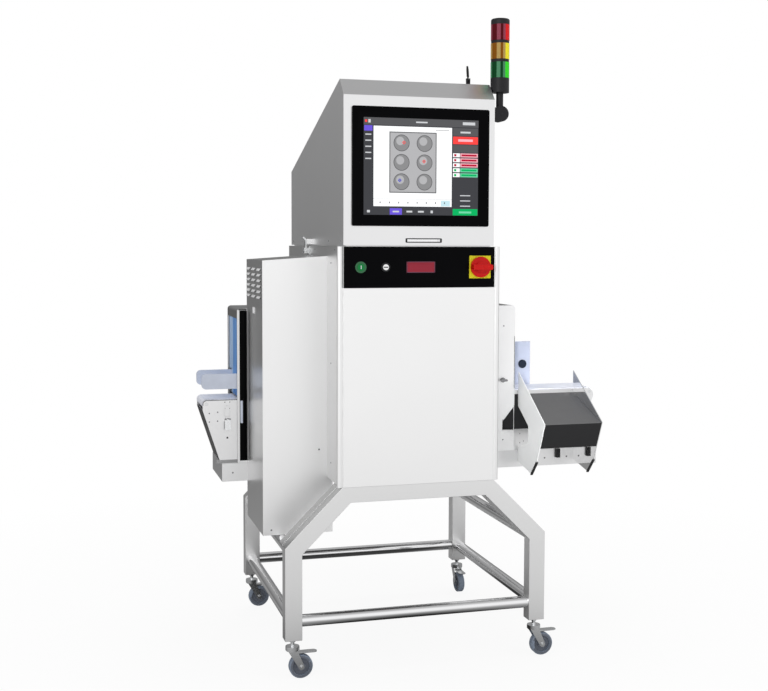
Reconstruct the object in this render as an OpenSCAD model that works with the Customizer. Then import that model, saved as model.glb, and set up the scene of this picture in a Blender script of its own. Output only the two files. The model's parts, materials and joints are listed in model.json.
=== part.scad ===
// Food x-ray inspection machine: a cabinet on a caster frame, a conveyor through
// a shielded tunnel, a lifting hood with the display, and a reject pusher and slide.
// The origin is on the floor under the middle of the frame. +X is the way the belt
// travels, +Z is up, and the operator stands on the -Y side.

/* [Frame] */
// Width over the legs
frame_w = 867; // [840:1:900]
// Depth over the legs, front face to rear face
frame_d = 818; // [800:1:840]
// Height of the frame's top above the floor
frame_h = 598; // [590:1:610]
// Width of a leg seen from the front
leg_w = 54; // [46:1:60]
// Depth of a leg
leg_d = 46; // [40:1:50]
// Height at which the legs end above the casters
foot_z = 124; // [120:1:132]
// Height at which the legs lean inward
shoulder_z = 417; // [405:1:425]
// Height of the beam under the cabinet
apron_h = 48; // [38:1:56]
// Diameter of the round rails
rail_dia = 38; // [32:1:42]
// Height of the lower rails
low_rail_z = 181; // [165:1:240]
// Height of the upper side rails
side_rail_z = 396; // [380:1:400]

/* [Cabinet] */
// Width of the cabinet over its side sheets
cab_w = 514; // [505:1:524]
// Height of the cabinet
cab_h = 753; // [740:1:790]
// Depth of the cabinet from the front panel to the back
cab_d = 820; // [812:1:830]
// Thickness of the cabinet sheet
sheet_t = 3; // [2:0.5:3.5]
// Radius of the round corner posts
post_r = 10; // [8:0.5:12]
// Height of the black control panel
control_h = 128; // [124:1:140]
// Width of the service enclosure on the infeed side
box_w = 212; // [200:1:220]
// Depth of the service enclosure
box_d = 310; // [290:1:320]
// Distance of the service enclosure's top below the cabinet's
box_down = 46; // [45:1:75]

/* [Hood] */
// Width of the hood
hood_w = 495; // [488:1:500]
// Height of the hood's ridge above the cabinet
ridge_h = 519; // [505:1:540]
// Height of the hood's back above the cabinet
hood_back_h = 274; // [250:1:300]
// Width of the display's visible area
display_w = 376; // [360:1:384]
// Height of the display's visible area
display_h = 300; // [290:1:308]
// Width of the display's bezel
bezel_w = 449; // [440:1:455]
// Height of the display's bezel
bezel_h = 369; // [362:1:376]

/* [Tunnel and conveyor] */
// Distance of the tunnel's front wall behind the middle
tunnel_y = 91; // [84:1:98]
// Depth of the tunnel over its walls
tunnel_d = 224; // [214:1:240]
// Height of the tunnel's top above the frame
tunnel_h = 537; // [520:1:560]
// Thickness of the tunnel wall
tunnel_t = 4; // [3:0.5:5]
// Length of the infeed hood beside the cabinet
infeed_len = 246; // [236:1:260]
// Length of the outfeed hood beside the cabinet
outfeed_len = 267; // [255:1:275]
// Height of the belt's top above the floor
belt_z = 822; // [815:1:835]
// Width of the belt
belt_w = 144; // [130:1:150]
// Thickness of the belt
belt_t = 3; // [2:0.5:4]
// Distance of the infeed nose from the middle
infeed_reach = 624; // [610:1:640]
// Distance of the outfeed nose from the middle
outfeed_reach = 844; // [830:1:850]
// Diameter of the drive roller
drive_dia = 70; // [60:1:74]

/* [Reject] */
// Stroke of the reject pusher
push_stroke = 110; // [60:1:120]
// Distance from the cabinet's middle to the pusher's rod
push_x = 622; // [612:1:630]
// Clear width of the slide between its cheeks
slide_w = 217; // [200:1:222]

/* [Casters and light] */
// Diameter of the caster wheels
wheel_dia = 75; // [70:1:76]
// Width of the caster wheels
wheel_w = 24; // [20:1:26]
// Distance from the swivel's axis to the wheel's axle
caster_trail = 26; // [22:1:30]
// Diameter of the signal light
lens_dia = 60; // [50:1:64]
// Height of one signal lens
lens_h = 50; // [40:1:54]

/* [Hidden] */
$fn = 48;

// One overrun serves all cuts, and one seat gap all pieces of different bodies that rest close
cut = 1;
seat_gap = 0.3;
fit_gap = 0.05;

// Frame
half_w = frame_w / 2;
front_y = -frame_d / 2;
rear_y = frame_d / 2;
top_half_w = half_w - (frame_h - shoulder_z);
knee_z = shoulder_z + leg_w - sqrt(2) * leg_w;
beam_x = half_w + shoulder_z - sqrt(2) * leg_w - (frame_h - apron_h);
rail_r = rail_dia / 2;
rail_x = half_w - leg_w / 2;
rail_y = rear_y - leg_d / 2;
rail_top = side_rail_z + rail_r;
strut_slit = 4;

// Cabinet
cab_hw = cab_w / 2;
cab_top = frame_h + cab_h;
cab_back = front_y + cab_d;
shell_front = front_y + sheet_t;
post_out = 1;
post_x = cab_hw + post_out;
panel_gap = 0.4;
panel_hw = post_x - post_r - panel_gap;
panel_seam = 0.5;
control_low = cab_top - panel_seam - control_h;
control_proud = 1.5;
control_y = front_y - control_proud;
window_margin = 27;
window_rim = 21.5;

// Controls on the black panel: distance of each from the cabinet's middle and height in it
start_x = -194.4;
key_x = -113.9;
readout_x = 0.7;
switch_x = 197.6;
control_z = control_low + control_h / 2;
button_r = 11;
button_proud = 6;
button_stroke = 3;
button_guide = 5;
button_len = button_proud + button_stroke + button_guide;
ring_r = 18;
key_ring_r = 14.5;
key_r = 9;
key_proud = 5;
key_slot_w = 3;
key_slot_depth = 2.5;
ring_proud = 3;
body_r = 16;
body_len = 42;
body_wall = 4;
readout_w = 94;
readout_h = 35.5;
readout_proud = 2;
readout_depth = 24;
readout_rim = 5;
plate_side = 72;
plate_t = 3;
knob_r = 33;
knob_base_t = 9;
knob_grip_w = 17;
knob_proud = 31;
knob_shaft_r = 6;
knob_grip_r = 6;
grip_root_share = 0.55;
slot_share = 0.75;
button_dish_r = 30;
button_dish = 1.2;
neck_wall = 2.5;
neck_gap = 0.2;
switch_hw = 29;

// Inside the cabinet: x-ray generator with its port, line detector, and the electrics on top
tank_w = 300;
tank_d = 250;
tank_h = 200;
tank_inset = 79;
tank_y = front_y + tank_inset;
tank_up = 252;
tank_z = frame_h + tank_up;
port_h = 20;
port_t = 24;
stand_w = 40;
stand_t = 4;
det_w = 70;
det_d = 60;
det_slot = 8;
det_under = 22;
det_over = 20;
elec_w = 400;
elec_d = 650;
elec_t = 3;
elec_inset = 109;
elec_y = front_y + elec_inset;
elec_edge = 20;
pc_w = 220;
pc_d = 200;
pc_h = 90;
psu_w = 120;
psu_d = 220;
psu_h = 60;
module_count = 8;
module_pitch = 40;
module_w = 36;
module_d = 70;
module_h = 62;
module_base = 8;

// Hood
hood_hw = hood_w / 2;
hood_low = cab_top + sheet_t;
lip_gap = 0.3;
lip_w = 18;
hood_inset = 7;
hood_front = front_y + hood_inset;
ridge_z = cab_top + ridge_h;
ridge_back = 50;
ridge_drop = 53;
hood_back_z = cab_top + hood_back_h;
mon_x = 3;
mon_up = 248;
mon_z = cab_top + mon_up;
bezel_proud = 6;
bezel_r = 6;
screen_sink = 1.5;
screen_t = 2;
mon_depth = 54;
mon_side_margin = 22;
mon_top_margin = 14.5;
mon_gap = 1;
pull_x = 12;
pull_w = 120;
pull_h = 14;
pull_up = 16;
pull_z = hood_low + pull_up;
pull_proud = 2.5;
pull_pocket = 14;
pull_rim = 3;
pull_wall = 1.5;

// Hood hinge: leaves on the cabinet and the hood, and a barrel behind the seam
hinge_x = 150;
hinge_out = 7;
hinge_y = cab_back + hinge_out;
hinge_z = cab_top + sheet_t / 2;
hinge_r = 6;
hinge_pin_r = 3;
hinge_leaf_t = 3;
hinge_leaf_h = 26;
knuckle_len = 18;
knuckle_gap = 0.4;

// Latch between the cabinet and the hood, on the infeed side
latch_y = 60;
latch_down = 16;
latch_z = cab_top - latch_down;
latch_out = 9.5;
latch_wall = 2;
latch_base_t = 3;
latch_base_w = 30;
latch_base_h = 28;
latch_pin_r = 4;
latch_arm_t = 4;
latch_arm_w = 14;
latch_arm_len = 38;
latch_grip_out = 10;
keeper_h = 18;
keeper_up = 3;
keeper_out = cab_hw + latch_out - hood_w / 2 - seat_gap;

// Signal light and antenna, both carried by the hood
tower_out = 32.5;
tower_x = hood_hw + tower_out;
tower_back = 43;
tower_y = hood_front + tower_back;
tower_down = 93;
tower_z = ridge_z - tower_down;
tower_disc_r = 25;
tower_disc_t = 36;
lug_t = 10;
tower_pin_r = 6;
stem_r = 11.5;
lens_r = lens_dia / 2;
stack_up = 68;
stack_z = tower_z + stack_up;
lug_share = 0.9;
light_ring_in = 1;
light_cap_r = 6;
light_core_r = 9;
light_base_h = 46;
light_ring_h = 9.5;
light_cap_h = 19;
lens_wall = 3;
bracket_t = 3;
bracket_half = 27;
whip_x = 178;
whip_back = 60;
whip_y = hood_front + whip_back;
whip_boss_r = 7;
whip_up = 14;
whip_pivot_z = ridge_z + whip_up;
whip_sink = 6;
ear_share = 0.85;
whip_tongue_t = 3;
whip_root_r = 2.5;
whip_tip_len = 12;
whip_len = 44;
whip_r = 4;
whip_tip_r = 2.8;
whip_lean = 4;
whip_tongue = 5;
whip_pin_r = 1.5;

// Service enclosure
box_back = tunnel_y;
box_front = box_back - box_d;
box_left = -cab_hw - box_w;
box_under = 19;
box_low = rail_top;
box_top = cab_top - box_down;
box_slope = 14.4;
louvre_w = 60;
louvre_h = 7;
louvre_pitch = 18;
louvre_rows = 6;
louvre_columns = 3;
louvre_hood = 5;
louvre_margin = 30;
louvre_spacing = 100;
hatch_w = 50;
hatch_h = 21;
hatch_z = 168;
hatch_y = 136;
louvre_top = 27.5;
louvre_lip = 1;

// Tunnel
tun_in = tunnel_y + tunnel_t;
tun_back = tunnel_y + tunnel_d;
tun_back_in = tun_back - tunnel_t;
tun_top = frame_h + tunnel_h;
tun_ceiling = tun_top - tunnel_t;
infeed_end = -cab_hw - infeed_len;
outfeed_end = cab_hw + outfeed_len;
mouth_drop = 31;
mouth_top = tun_ceiling - mouth_drop;
mouth_margin = 2.5;
mouth_back_margin = 17;
trim_w = 9;
trim_t = 2;
housing_r = 12;
beam_slit = 6;
beam_low = 10;
joint_gap = 0.5;

// Conveyor across the tunnel: side plates stand on the base channel
plate_gap = 2;
side_t = 4;
belt_edge = 5;
side_in = belt_w / 2 + belt_edge;
conv_y = tun_in + plate_gap + side_t + side_in;
side_drop = 2;
side_top = belt_z - side_drop;
nose_r = 12.2;
belt_run = 0.3;
nose_z = belt_z - belt_t - belt_run - nose_r;
infeed_nose_x = -infeed_reach + belt_t + belt_run + nose_r;
outfeed_nose_x = outfeed_reach - belt_t - belt_run - nose_r;
drive_r = drive_dia / 2;
drive_in = 124;
drive_x = outfeed_reach - drive_in;
drive_drop = 77;
drive_z = belt_z - drive_drop;
journal_r = 6;
bed_t = 2.7;
corner_r = 25;
side_nose_r = 13.1;
foot_in = 67;
foot_slope_x = infeed_reach - foot_in;
plate_drop = 37;
plate_drop_z = belt_z - plate_drop;
knee_in = 59;
plate_knee_x = infeed_reach - knee_in;
knee_up = 14;
plate_knee_z = frame_h + knee_up;
outfeed_foot = 54;
outfeed_foot_x = outfeed_reach - outfeed_foot;
plate_in = 2.2;
gear_wall = 8;
tie_x = 420;
tie_up = 60;
tie_z = frame_h + tie_up;
motor_r = 42;
gear_w = 80;
gear_d = 71;
motor_len = 110;
tie_r = 9;

// Guide bars over the belt's edges
guide_up = 35;
guide_low = belt_z + guide_up;
guide_h = 52;
guide_t = 12;
guide_over = 6;
guide_in = belt_w / 2 - guide_over;
guide_start = -infeed_reach;
guide_back = 24;
guide_end = outfeed_end - guide_back;
guide_r = 15;
guide_post_w = 20;
guide_post_x = 440;

// Draw latch on the infeed side plate
draw_in = 87;
draw_x = -infeed_reach + draw_in;
draw_down = 5;
draw_top = belt_z - draw_down;
draw_w = 26;
draw_plate_t = 2;
draw_keeper_h = 32;
draw_base_h = 42;
draw_base_down = 105;
draw_base_low = belt_z - draw_base_down;
draw_pin_r = 2.5;
draw_pin_out = 7;
draw_pin_down = 8;
draw_pin_z = draw_base_low + draw_base_h - draw_pin_down;
draw_wall = 1.5;
draw_tip = 5;
hook_w = 10;
hook_t = 2.5;
hook_reach = 3.9;
hook_lip = 2;
hook_lip_h = 5;
hook_down = 22;
hook_z = draw_top - hook_down;
bail_t = 2.4;
bail_out = 3.8;
bail_hw = 11;
bail_r = 7;
bail_up = 7.5;
bail_low = draw_pin_z + bail_up;
bail_high = hook_z + hook_t + seat_gap + bail_t;
end_cover_in = 2;
end_cover_t = 2;

// Base channel under the conveyor
channel_left = -foot_slope_x;
channel_over = 12;
channel_right = outfeed_reach + channel_over;
channel_h = 62;
channel_low = frame_h - channel_h;
channel_rear = 21;
channel_back = tun_back + channel_rear;
channel_t = 3;
notch_w = 20;
notch_h = 26;
notch_edge = 31;
notch_up = 32;

// Outfeed door, hung on the outfeed hood's front wall
door_t = 3;
door_start = 33;
door_left = cab_hw + door_start;
door_rim = 4;
door_right = outfeed_end - door_rim;
door_up = 2;
door_low = frame_h + door_up;
door_down = 13;
door_high = tun_top - door_down;
door_hinge_out = 12;
door_hinge_x = cab_hw + door_hinge_out;
door_leaf_in = 2;
door_pin_r = 3;
door_barrel_r = 5.5;
door_hinge_share = [0.14, 0.84];
door_y = tunnel_y - seat_gap;
door_pin_out = 7;
door_pin_y = tunnel_y - door_pin_out;
door_margin = 12;
door_knob_in = 48;
door_knob_x = outfeed_end - door_knob_in;
door_knob_up = 39;
door_knob_z = belt_z + door_knob_up;
door_collar_r = 9;
door_knob_r = 4;
door_knob_out = 18;
door_bar_len = 26;
shape_notch_w = 48;
notch_low_up = 77;
notch_side_up = 109;
notch_top_up = 168;
shape_notch_low = frame_h + notch_low_up;
shape_notch_side = frame_h + notch_side_up;
shape_notch_top = frame_h + notch_top_up;

// Curtain strips
strip_count = 5;
strip_over = 8;
strip_pitch = 38.6;
strip_gap = 2.6;
strip_t = 2.5;
strip_up = 6;

// Reject pusher, on the rear side plate
push_up = 78;
push_z = belt_z + push_up;
push_head_r = 16.5;
push_head_t = 4.7;
push_rod_r = 7;
push_run = 0.08;
push_box_w = 66;
push_box_over = 41;
push_box_d = push_stroke + push_box_over;
push_box_down = 122;
push_box_low = belt_z - push_box_down;
push_box_h = 287;
push_box_slope = 14;

// Reject slide and its cheeks, in the plane across the belt: distance from the tunnel's
// front plane and height above the frame's top, as named points
cheek_t = 3;
cheek_in = 82;
cheek_left = push_x - cheek_in;
apex_h = 290;
ridge_out = 243;
ridge_up = 130;
heel_out = 201;
heel_up = 38;
fin_out = 178;
fin_down = 12;
tip_out = 128;
tip_down = 66;
root_down = 42;
root_up = 12;
throat_out = 94;
throat_low = 42;
throat_high = 104;
seat_up = 164;
slide_t = 3;
slide_in = 2;
slide_up = 208;
edge_trim_t = 5;
edge_trim_w = 9;
skirt_low = 78;
skirt_back = 54;
skirt_reach = 20;
stop_w = 30;
stop_d = 12;
stop_down = 34;

// Casters
wheel_r = wheel_dia / 2;
axle_r = 4;
axle_gap = 0.06;
wheel_z = wheel_r;
fork_t = 2.5;
fork_play = 2;
fork_in = wheel_w / 2 + fork_play;
fork_boss_r = 9;
fork_plate_r = 20;
fork_drop = 36;
fork_plate_low = foot_z - fork_drop;
race_r = 22;
race_h = 12;
caster_stem_r = 6;
stem_nut_r = 10;
stem_nut_h = 8;
stem_head_r = 9;
stem_head_h = 3.6;
hub_r = 13;
rim_r = 27;
web_t = 10;
pedal_pin_x = 14;
pedal_len = 64;
pedal_t = 3;
pedal_hw = 13;
pedal_down = 6.5;
pedal_z = fork_plate_low - pedal_down;
pedal_pin_r = 2;
pedal_wall = 1.5;
blade_share = 0.6;
tread_r = 3;

// Simple solids placed by their limits
module block(x0, x1, y0, y1, z0, z1) translate([x0, y0, z0]) cube([x1 - x0, y1 - y0, z1 - z0]);
module rod_x(r, x0, x1, y, z) translate([x0, y, z]) rotate([0, 90, 0]) cylinder(r = r, h = x1 - x0);
module rod_y(r, x, y0, y1, z) translate([x, y0, z]) rotate([-90, 0, 0]) cylinder(r = r, h = y1 - y0);
module rod_z(r, x, y, z0, z1) translate([x, y, z0]) cylinder(r = r, h = z1 - z0);
module plate_xz(points, y0, y1)
  translate([0, y1, 0]) rotate([90, 0, 0]) linear_extrude(y1 - y0) polygon(points);
module plate_yz(points, x0, x1)
  translate([x0, 0, 0]) rotate([90, 0, 90]) linear_extrude(x1 - x0) polygon(points);

// Moves the sides of a counter-clockwise outline inward by t
function inset(p, t) = [for (i = [0:len(p) - 1])
  let(a = p[(i + len(p) - 1) % len(p)], b = p[i], c = p[(i + 1) % len(p)],
      d1 = (b - a) / norm(b - a), d2 = (c - b) / norm(c - b),
      n1 = [-d1[1], d1[0]], n2 = [-d2[1], d2[0]])
  b + t * (n1 + n2) / (1 + n1 * n2)];

// Outline of a loop round circles [x, y, r], listed counter-clockwise
function tangents(c) = [for (i = [0:len(c) - 1])
  let(a = c[i], b = c[(i + 1) % len(c)],
      d = [b[0] - a[0], b[1] - a[1]],
      turn = atan2(d[1], d[0]) - acos((a[2] - b[2]) / norm(d)))
  each [[a[0] + a[2] * cos(turn), a[1] + a[2] * sin(turn)],
        [b[0] + b[2] * cos(turn), b[1] + b[2] * sin(turn)]]];
module loop_shape(c) {
  polygon(tangents(c));
  for (k = c) translate([k[0], k[1]]) circle(r = k[2]);
}
module loop_xz(c, y0, y1) translate([0, y1, 0]) rotate([90, 0, 0]) linear_extrude(y1 - y0) loop_shape(c);

// A bar in the plane along X and Z with round ends
module bar_xz(x0, x1, z0, z1, y0, y1, r) {
  loop_xz([[x0 + r, z1 - r, r], [x0 + r, z0 + r, r], [x1 - r, z0 + r, r], [x1 - r, z1 - r, r]], y0, y1);
}

// Frame: a front gate with two slanting struts behind it, and a rear gate
module gate(y0, y1) {
  plate_xz([[-half_w, foot_z], [-half_w + leg_w, foot_z], [-half_w + leg_w, knee_z],
    [-beam_x, frame_h - apron_h], [beam_x, frame_h - apron_h], [half_w - leg_w, knee_z],
    [half_w - leg_w, foot_z], [half_w, foot_z], [half_w, shoulder_z], [top_half_w, frame_h],
    [-top_half_w, frame_h], [-half_w, shoulder_z]], y0, y1);
}
module struts(y0, y1) {
  low = rail_top + seat_gap;
  bend = max(shoulder_z, low);
  inner = beam_x + frame_h - apron_h;
  for (s = [-1, 1])
    plate_xz([[s * (half_w + shoulder_z - bend), bend], [s * (half_w + shoulder_z - bend), low],
      [s * (inner - low), low], [s * (inner - frame_h), frame_h], [s * top_half_w, frame_h]], y0, y1);
}
module front_frame() color("gainsboro") {
  gate(front_y, front_y + leg_d);
  struts(front_y + leg_d + strut_slit, front_y + 2 * leg_d + strut_slit);
}
module rear_frame() color("gainsboro") gate(rear_y - leg_d, rear_y);
module rails() color("silver") {
  for (s = [-1, 1]) {
    rod_x(rail_r, -half_w + leg_w, half_w - leg_w, s * rail_y, low_rail_z);
    for (z = [low_rail_z, side_rail_z]) rod_y(rail_r, s * rail_x, front_y + leg_d, rear_y - leg_d, z);
  }
}

// Cabinet
module cabinet_shell() color("whitesmoke") {
  difference() {
    block(-cab_hw, cab_hw, shell_front, cab_back, frame_h, cab_top);
    block(-cab_hw + sheet_t, cab_hw - sheet_t, shell_front + sheet_t, cab_back - sheet_t,
      frame_h + sheet_t, cab_top - sheet_t);
    block(-cab_hw + window_margin, cab_hw - window_margin, shell_front - cut, shell_front + sheet_t + cut,
      frame_h + window_rim, cab_top - window_rim);
    block(-cab_hw - cut, cab_hw + cut, tun_in, tun_back_in, frame_h - cut, tun_ceiling);
  }
  for (s = [-1, 1]) rod_z(post_r, s * post_x, front_y + post_r, frame_h, cab_top);
}
module front_panel() color("white")
  block(-panel_hw, panel_hw, front_y, shell_front, frame_h, control_low - panel_seam);
module control_panel() color([0.06, 0.06, 0.07]) difference() {
  block(-panel_hw, panel_hw, control_y, shell_front, control_low, cab_top - panel_seam);
  for (k = [[start_x, neck(button_r)], [key_x, neck(key_r)], [switch_x, neck(knob_shaft_r)]])
    rod_y(k[1] + neck_gap, k[0], control_y - cut, shell_front + cut, control_z);
  hw = readout_w / 2 - readout_rim + neck_gap;
  hh = readout_h / 2 - readout_rim + neck_gap;
  block(readout_x - hw, readout_x + hw, control_y - cut, shell_front + cut, control_z - hh, control_z + hh);
}
function neck(r) = r + neck_wall;

// Controls: each body reaches through the panel and is held by its ring
module switch_body(x, r, ring) difference() {
  union() {
    rod_y(ring, x, control_y - ring_proud, control_y, control_z);
    rod_y(neck(r), x, control_y, shell_front, control_z);
    rod_y(body_r, x, shell_front, shell_front + body_len, control_z);
  }
  rod_y(r + fit_gap, x, control_y - ring_proud - cut, shell_front + body_len - body_wall, control_z);
}
module switch_bodies() color("silver") {
  switch_body(start_x, button_r, ring_r);
  switch_body(key_x, key_r, key_ring_r);
  difference() {
    union() {
      rod_y(neck(knob_shaft_r), switch_x, control_y, shell_front, control_z);
      block(switch_x - switch_hw, switch_x + switch_hw, shell_front, shell_front + body_len,
        control_z - switch_hw, control_z + switch_hw);
    }
    rod_y(knob_shaft_r + fit_gap, switch_x, control_y - cut, shell_front + body_len - body_wall, control_z);
  }
}
module start_button() color([0.05, 0.6, 0.3]) difference() {
  rod_y(button_r, start_x, control_y - button_proud, control_y - button_proud + button_len, control_z);
  translate([start_x, control_y - button_proud - button_dish_r + button_dish, control_z])
    sphere(r = button_dish_r);
}
module key_switch() color("silver") difference() {
  rod_y(key_r, key_x, control_y - key_proud, control_y - key_proud + button_len, control_z);
  block(key_x - key_r * slot_share, key_x + key_r * slot_share, control_y - key_proud - cut,
    control_y - key_proud + key_slot_depth, control_z - key_slot_w / 2, control_z + key_slot_w / 2);
}
module number_display() color([0.45, 0.08, 0.08]) difference() {
  union() {
    block(readout_x - readout_w / 2, readout_x + readout_w / 2, control_y - readout_proud, control_y,
      control_z - readout_h / 2, control_z + readout_h / 2);
    block(readout_x - readout_w / 2 + readout_rim, readout_x + readout_w / 2 - readout_rim,
      control_y, control_y + readout_depth,
      control_z - readout_h / 2 + readout_rim, control_z + readout_h / 2 - readout_rim);
  }
  block(readout_x - readout_w / 2 + readout_rim, readout_x + readout_w / 2 - readout_rim,
    control_y - readout_proud - cut, control_y - readout_proud / 2,
    control_z - readout_h / 2 + readout_rim, control_z + readout_h / 2 - readout_rim);
}
module switch_plate() color("gold") difference() {
  block(switch_x - plate_side / 2, switch_x + plate_side / 2, control_y - plate_t, control_y,
    control_z - plate_side / 2, control_z + plate_side / 2);
  rod_y(neck(knob_shaft_r), switch_x, control_y - plate_t - cut, control_y + cut, control_z);
}
module main_switch_knob() color("red") {
  face = control_y - plate_t - seat_gap;
  rod_y(knob_r, switch_x, face - knob_base_t, face, control_z);
  intersection() {
    rod_y(knob_r, switch_x, face - knob_proud, face, control_z);
    union() {
      bar_xz(switch_x - knob_r - cut, switch_x + knob_r + cut, control_z - knob_grip_w / 2,
        control_z + knob_grip_w / 2, face - knob_proud, face, knob_grip_r);
      rod_y(knob_r * grip_root_share, switch_x, face - knob_proud * grip_root_share, face, control_z);
    }
  }
  rod_y(knob_shaft_r, switch_x, face - cut, shell_front + body_len - body_wall - seat_gap, control_z);
}

// Service enclosure on the infeed side, with pressed louvres in its outer face
module side_enclosure() color("white") {
  outline = [[box_left, box_low], [-cab_hw + box_under, box_low], [-cab_hw + box_under, frame_h],
    [-cab_hw, frame_h], [-cab_hw, box_top + box_slope], [box_left, box_top]];
  difference() {
    plate_xz(outline, box_front, box_back);
    plate_xz(inset(outline, sheet_t), box_front + sheet_t, box_back - sheet_t);
    louvre_places() block(-cut, sheet_t + cut, -louvre_w / 2, louvre_w / 2, -louvre_h, 0);
    block(box_left - cut, box_left + sheet_t / 2, box_front + hatch_y, box_front + hatch_y + hatch_w,
      box_top - hatch_z - hatch_h / 2, box_top - hatch_z + hatch_h / 2);
  }
  louvre_places() plate_xz([[cut, 0], [cut, louvre_lip], [0, louvre_lip],
    [-louvre_hood, louvre_lip - louvre_h], [-louvre_hood, -louvre_h], [0, 0]], -louvre_w / 2, louvre_w / 2);
}
module louvre_places() {
  for (column = [0:louvre_columns - 1], row = [0:louvre_rows - 1])
    translate([box_left, box_front + louvre_margin + louvre_w / 2 + column * louvre_spacing,
      box_top - louvre_top - row * louvre_pitch]) children();
}

// Shielded duct inside the cabinet, with the beam's slits in both walls
module tunnel_duct() color("silver") difference() {
  block(-cab_hw + sheet_t, cab_hw - sheet_t, tunnel_y, tun_back, frame_h + sheet_t, tun_top);
  block(-cab_hw, cab_hw, tun_in, tun_back_in, frame_h, tun_ceiling);
  block(-beam_slit / 2, beam_slit / 2, tunnel_y - cut, tun_back + cut, belt_z + beam_low, mouth_top);
}
module generator() color([0.45, 0.47, 0.5]) {
  block(-tank_w / 2, tank_w / 2, tank_y, tank_y + tank_d, tank_z, tank_z + tank_h);
  plate_yz([[tank_y + tank_d, tank_z + tank_h / 2 - port_h], [tunnel_y, belt_z + beam_low],
    [tunnel_y, mouth_top], [tank_y + tank_d, tank_z + tank_h / 2 + port_h]], -port_t / 2, port_t / 2);
  for (s = [-1, 1]) {
    x = s * (tank_w / 2 - stand_w / 2);
    block(x - stand_w / 2, x + stand_w / 2, tank_y, tank_y + tank_d, tank_z - stand_t, tank_z);
    for (y = [tank_y, tank_y + tank_d - stand_w])
      block(x - stand_w / 2, x + stand_w / 2, y, y + stand_w, frame_h + sheet_t, tank_z - stand_t);
  }
}
module detector() color([0.2, 0.21, 0.23]) difference() {
  block(-det_w / 2, det_w / 2, tun_back, tun_back + det_d, belt_z - det_under, mouth_top + det_over);
  block(-beam_slit / 2, beam_slit / 2, tun_back - cut, tun_back + det_slot, belt_z + beam_low, mouth_top);
}
// Computer, power supply, drive and a row of modules on a plate over the cabinet
module electrics() color([0.62, 0.64, 0.66]) {
  base = cab_top + elec_t;
  block(-elec_w / 2, elec_w / 2, elec_y, elec_y + elec_d, cab_top, base);
  block(elec_edge - elec_w / 2, elec_edge - elec_w / 2 + pc_w, elec_y + elec_edge,
    elec_y + elec_edge + pc_d, base, base + pc_h);
  block(elec_w / 2 - elec_edge - psu_w, elec_w / 2 - elec_edge, elec_y + elec_edge,
    elec_y + elec_edge + psu_d, base, base + psu_h);
  rail_y0 = elec_y + elec_d - elec_edge - module_d;
  block(elec_edge - elec_w / 2, elec_w / 2 - elec_edge, rail_y0, rail_y0 + module_d,
    base, base + module_base);
  for (i = [0:module_count - 1])
    block(elec_edge - elec_w / 2 + i * module_pitch, elec_edge - elec_w / 2 + i * module_pitch + module_w,
      rail_y0, rail_y0 + module_d, base + module_base, base + module_h);
}

// Hood: a folded sheet with a sloping roof, open below, with the display in its front
module hood_shell() color("lightgray") {
  outline = [[hood_front, hood_low], [cab_back, hood_low], [cab_back, hood_back_z],
    [hood_front + ridge_back, ridge_z], [hood_front, ridge_z - ridge_drop]];
  mon_hw = bezel_w / 2 - mon_side_margin + mon_gap;
  mon_hh = bezel_h / 2 - mon_top_margin + mon_gap;
  difference() {
    plate_yz(outline, -hood_hw, hood_hw);
    plate_yz(inset(outline, sheet_t), -hood_hw + sheet_t, hood_hw - sheet_t);
    block(-hood_hw + lip_w, hood_hw - lip_w, hood_front + lip_w, cab_back - lip_w,
      hood_low - cut, hood_low + sheet_t + cut);
    block(mon_x - mon_hw, mon_x + mon_hw, hood_front - cut, hood_front + sheet_t + cut,
      mon_z - mon_hh, mon_z + mon_hh);
    block(pull_x - pull_w / 2 + pull_rim, pull_x + pull_w / 2 - pull_rim, hood_front - cut,
      hood_front + sheet_t + cut, pull_z - pull_h / 2 + pull_wall, pull_z + pull_h / 2 - pull_wall);
  }
  difference() {
    hood_ring(lip_w / 2, cab_top + lip_gap, hood_low + sheet_t / 2);
    hood_ring(lip_w / 2 + sheet_t, cab_top, hood_low + sheet_t);
  }
  for (s = [-1, 1]) difference() {
    union() {
      block(s * hinge_x - knuckle_len / 2, s * hinge_x + knuckle_len / 2, cab_back, cab_back + hinge_leaf_t,
        hood_low, hood_low + hinge_leaf_h);
      rod_x(hinge_r, s * hinge_x - knuckle_len / 2, s * hinge_x + knuckle_len / 2, hinge_y, hinge_z);
    }
    rod_x(hinge_pin_r + fit_gap, s * hinge_x - knuckle_len, s * hinge_x + knuckle_len, hinge_y, hinge_z);
  }
  block(-hood_hw - keeper_out, -hood_hw, latch_y - latch_arm_w / 2, latch_y + latch_arm_w / 2,
    hood_low + keeper_up, hood_low + keeper_up + keeper_h);
  difference() {
    union() {
      rod_z(whip_boss_r, whip_x, whip_y, ridge_z - whip_sink, whip_pivot_z - whip_tongue);
      for (s = [-1, 1])
        block(whip_x + min(s * whip_tongue_t, s * whip_boss_r * ear_share),
          whip_x + max(s * whip_tongue_t, s * whip_boss_r * ear_share),
          whip_y - whip_tongue, whip_y + whip_tongue, whip_pivot_z - whip_tongue, whip_pivot_z + whip_tongue);
    }
    block(whip_x - whip_boss_r, whip_x + whip_boss_r, whip_y - whip_boss_r, whip_y + whip_boss_r,
      ridge_z - 2 * whip_sink, ridge_z - whip_sink / 2);
  }
  rod_x(whip_pin_r, whip_x - whip_boss_r * ear_share, whip_x + whip_boss_r * ear_share, whip_y, whip_pivot_z);
}
module hood_ring(side, z0, z1)
  block(-hood_hw + side, hood_hw - side, hood_front + side, cab_back - side, z0, z1);
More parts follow.
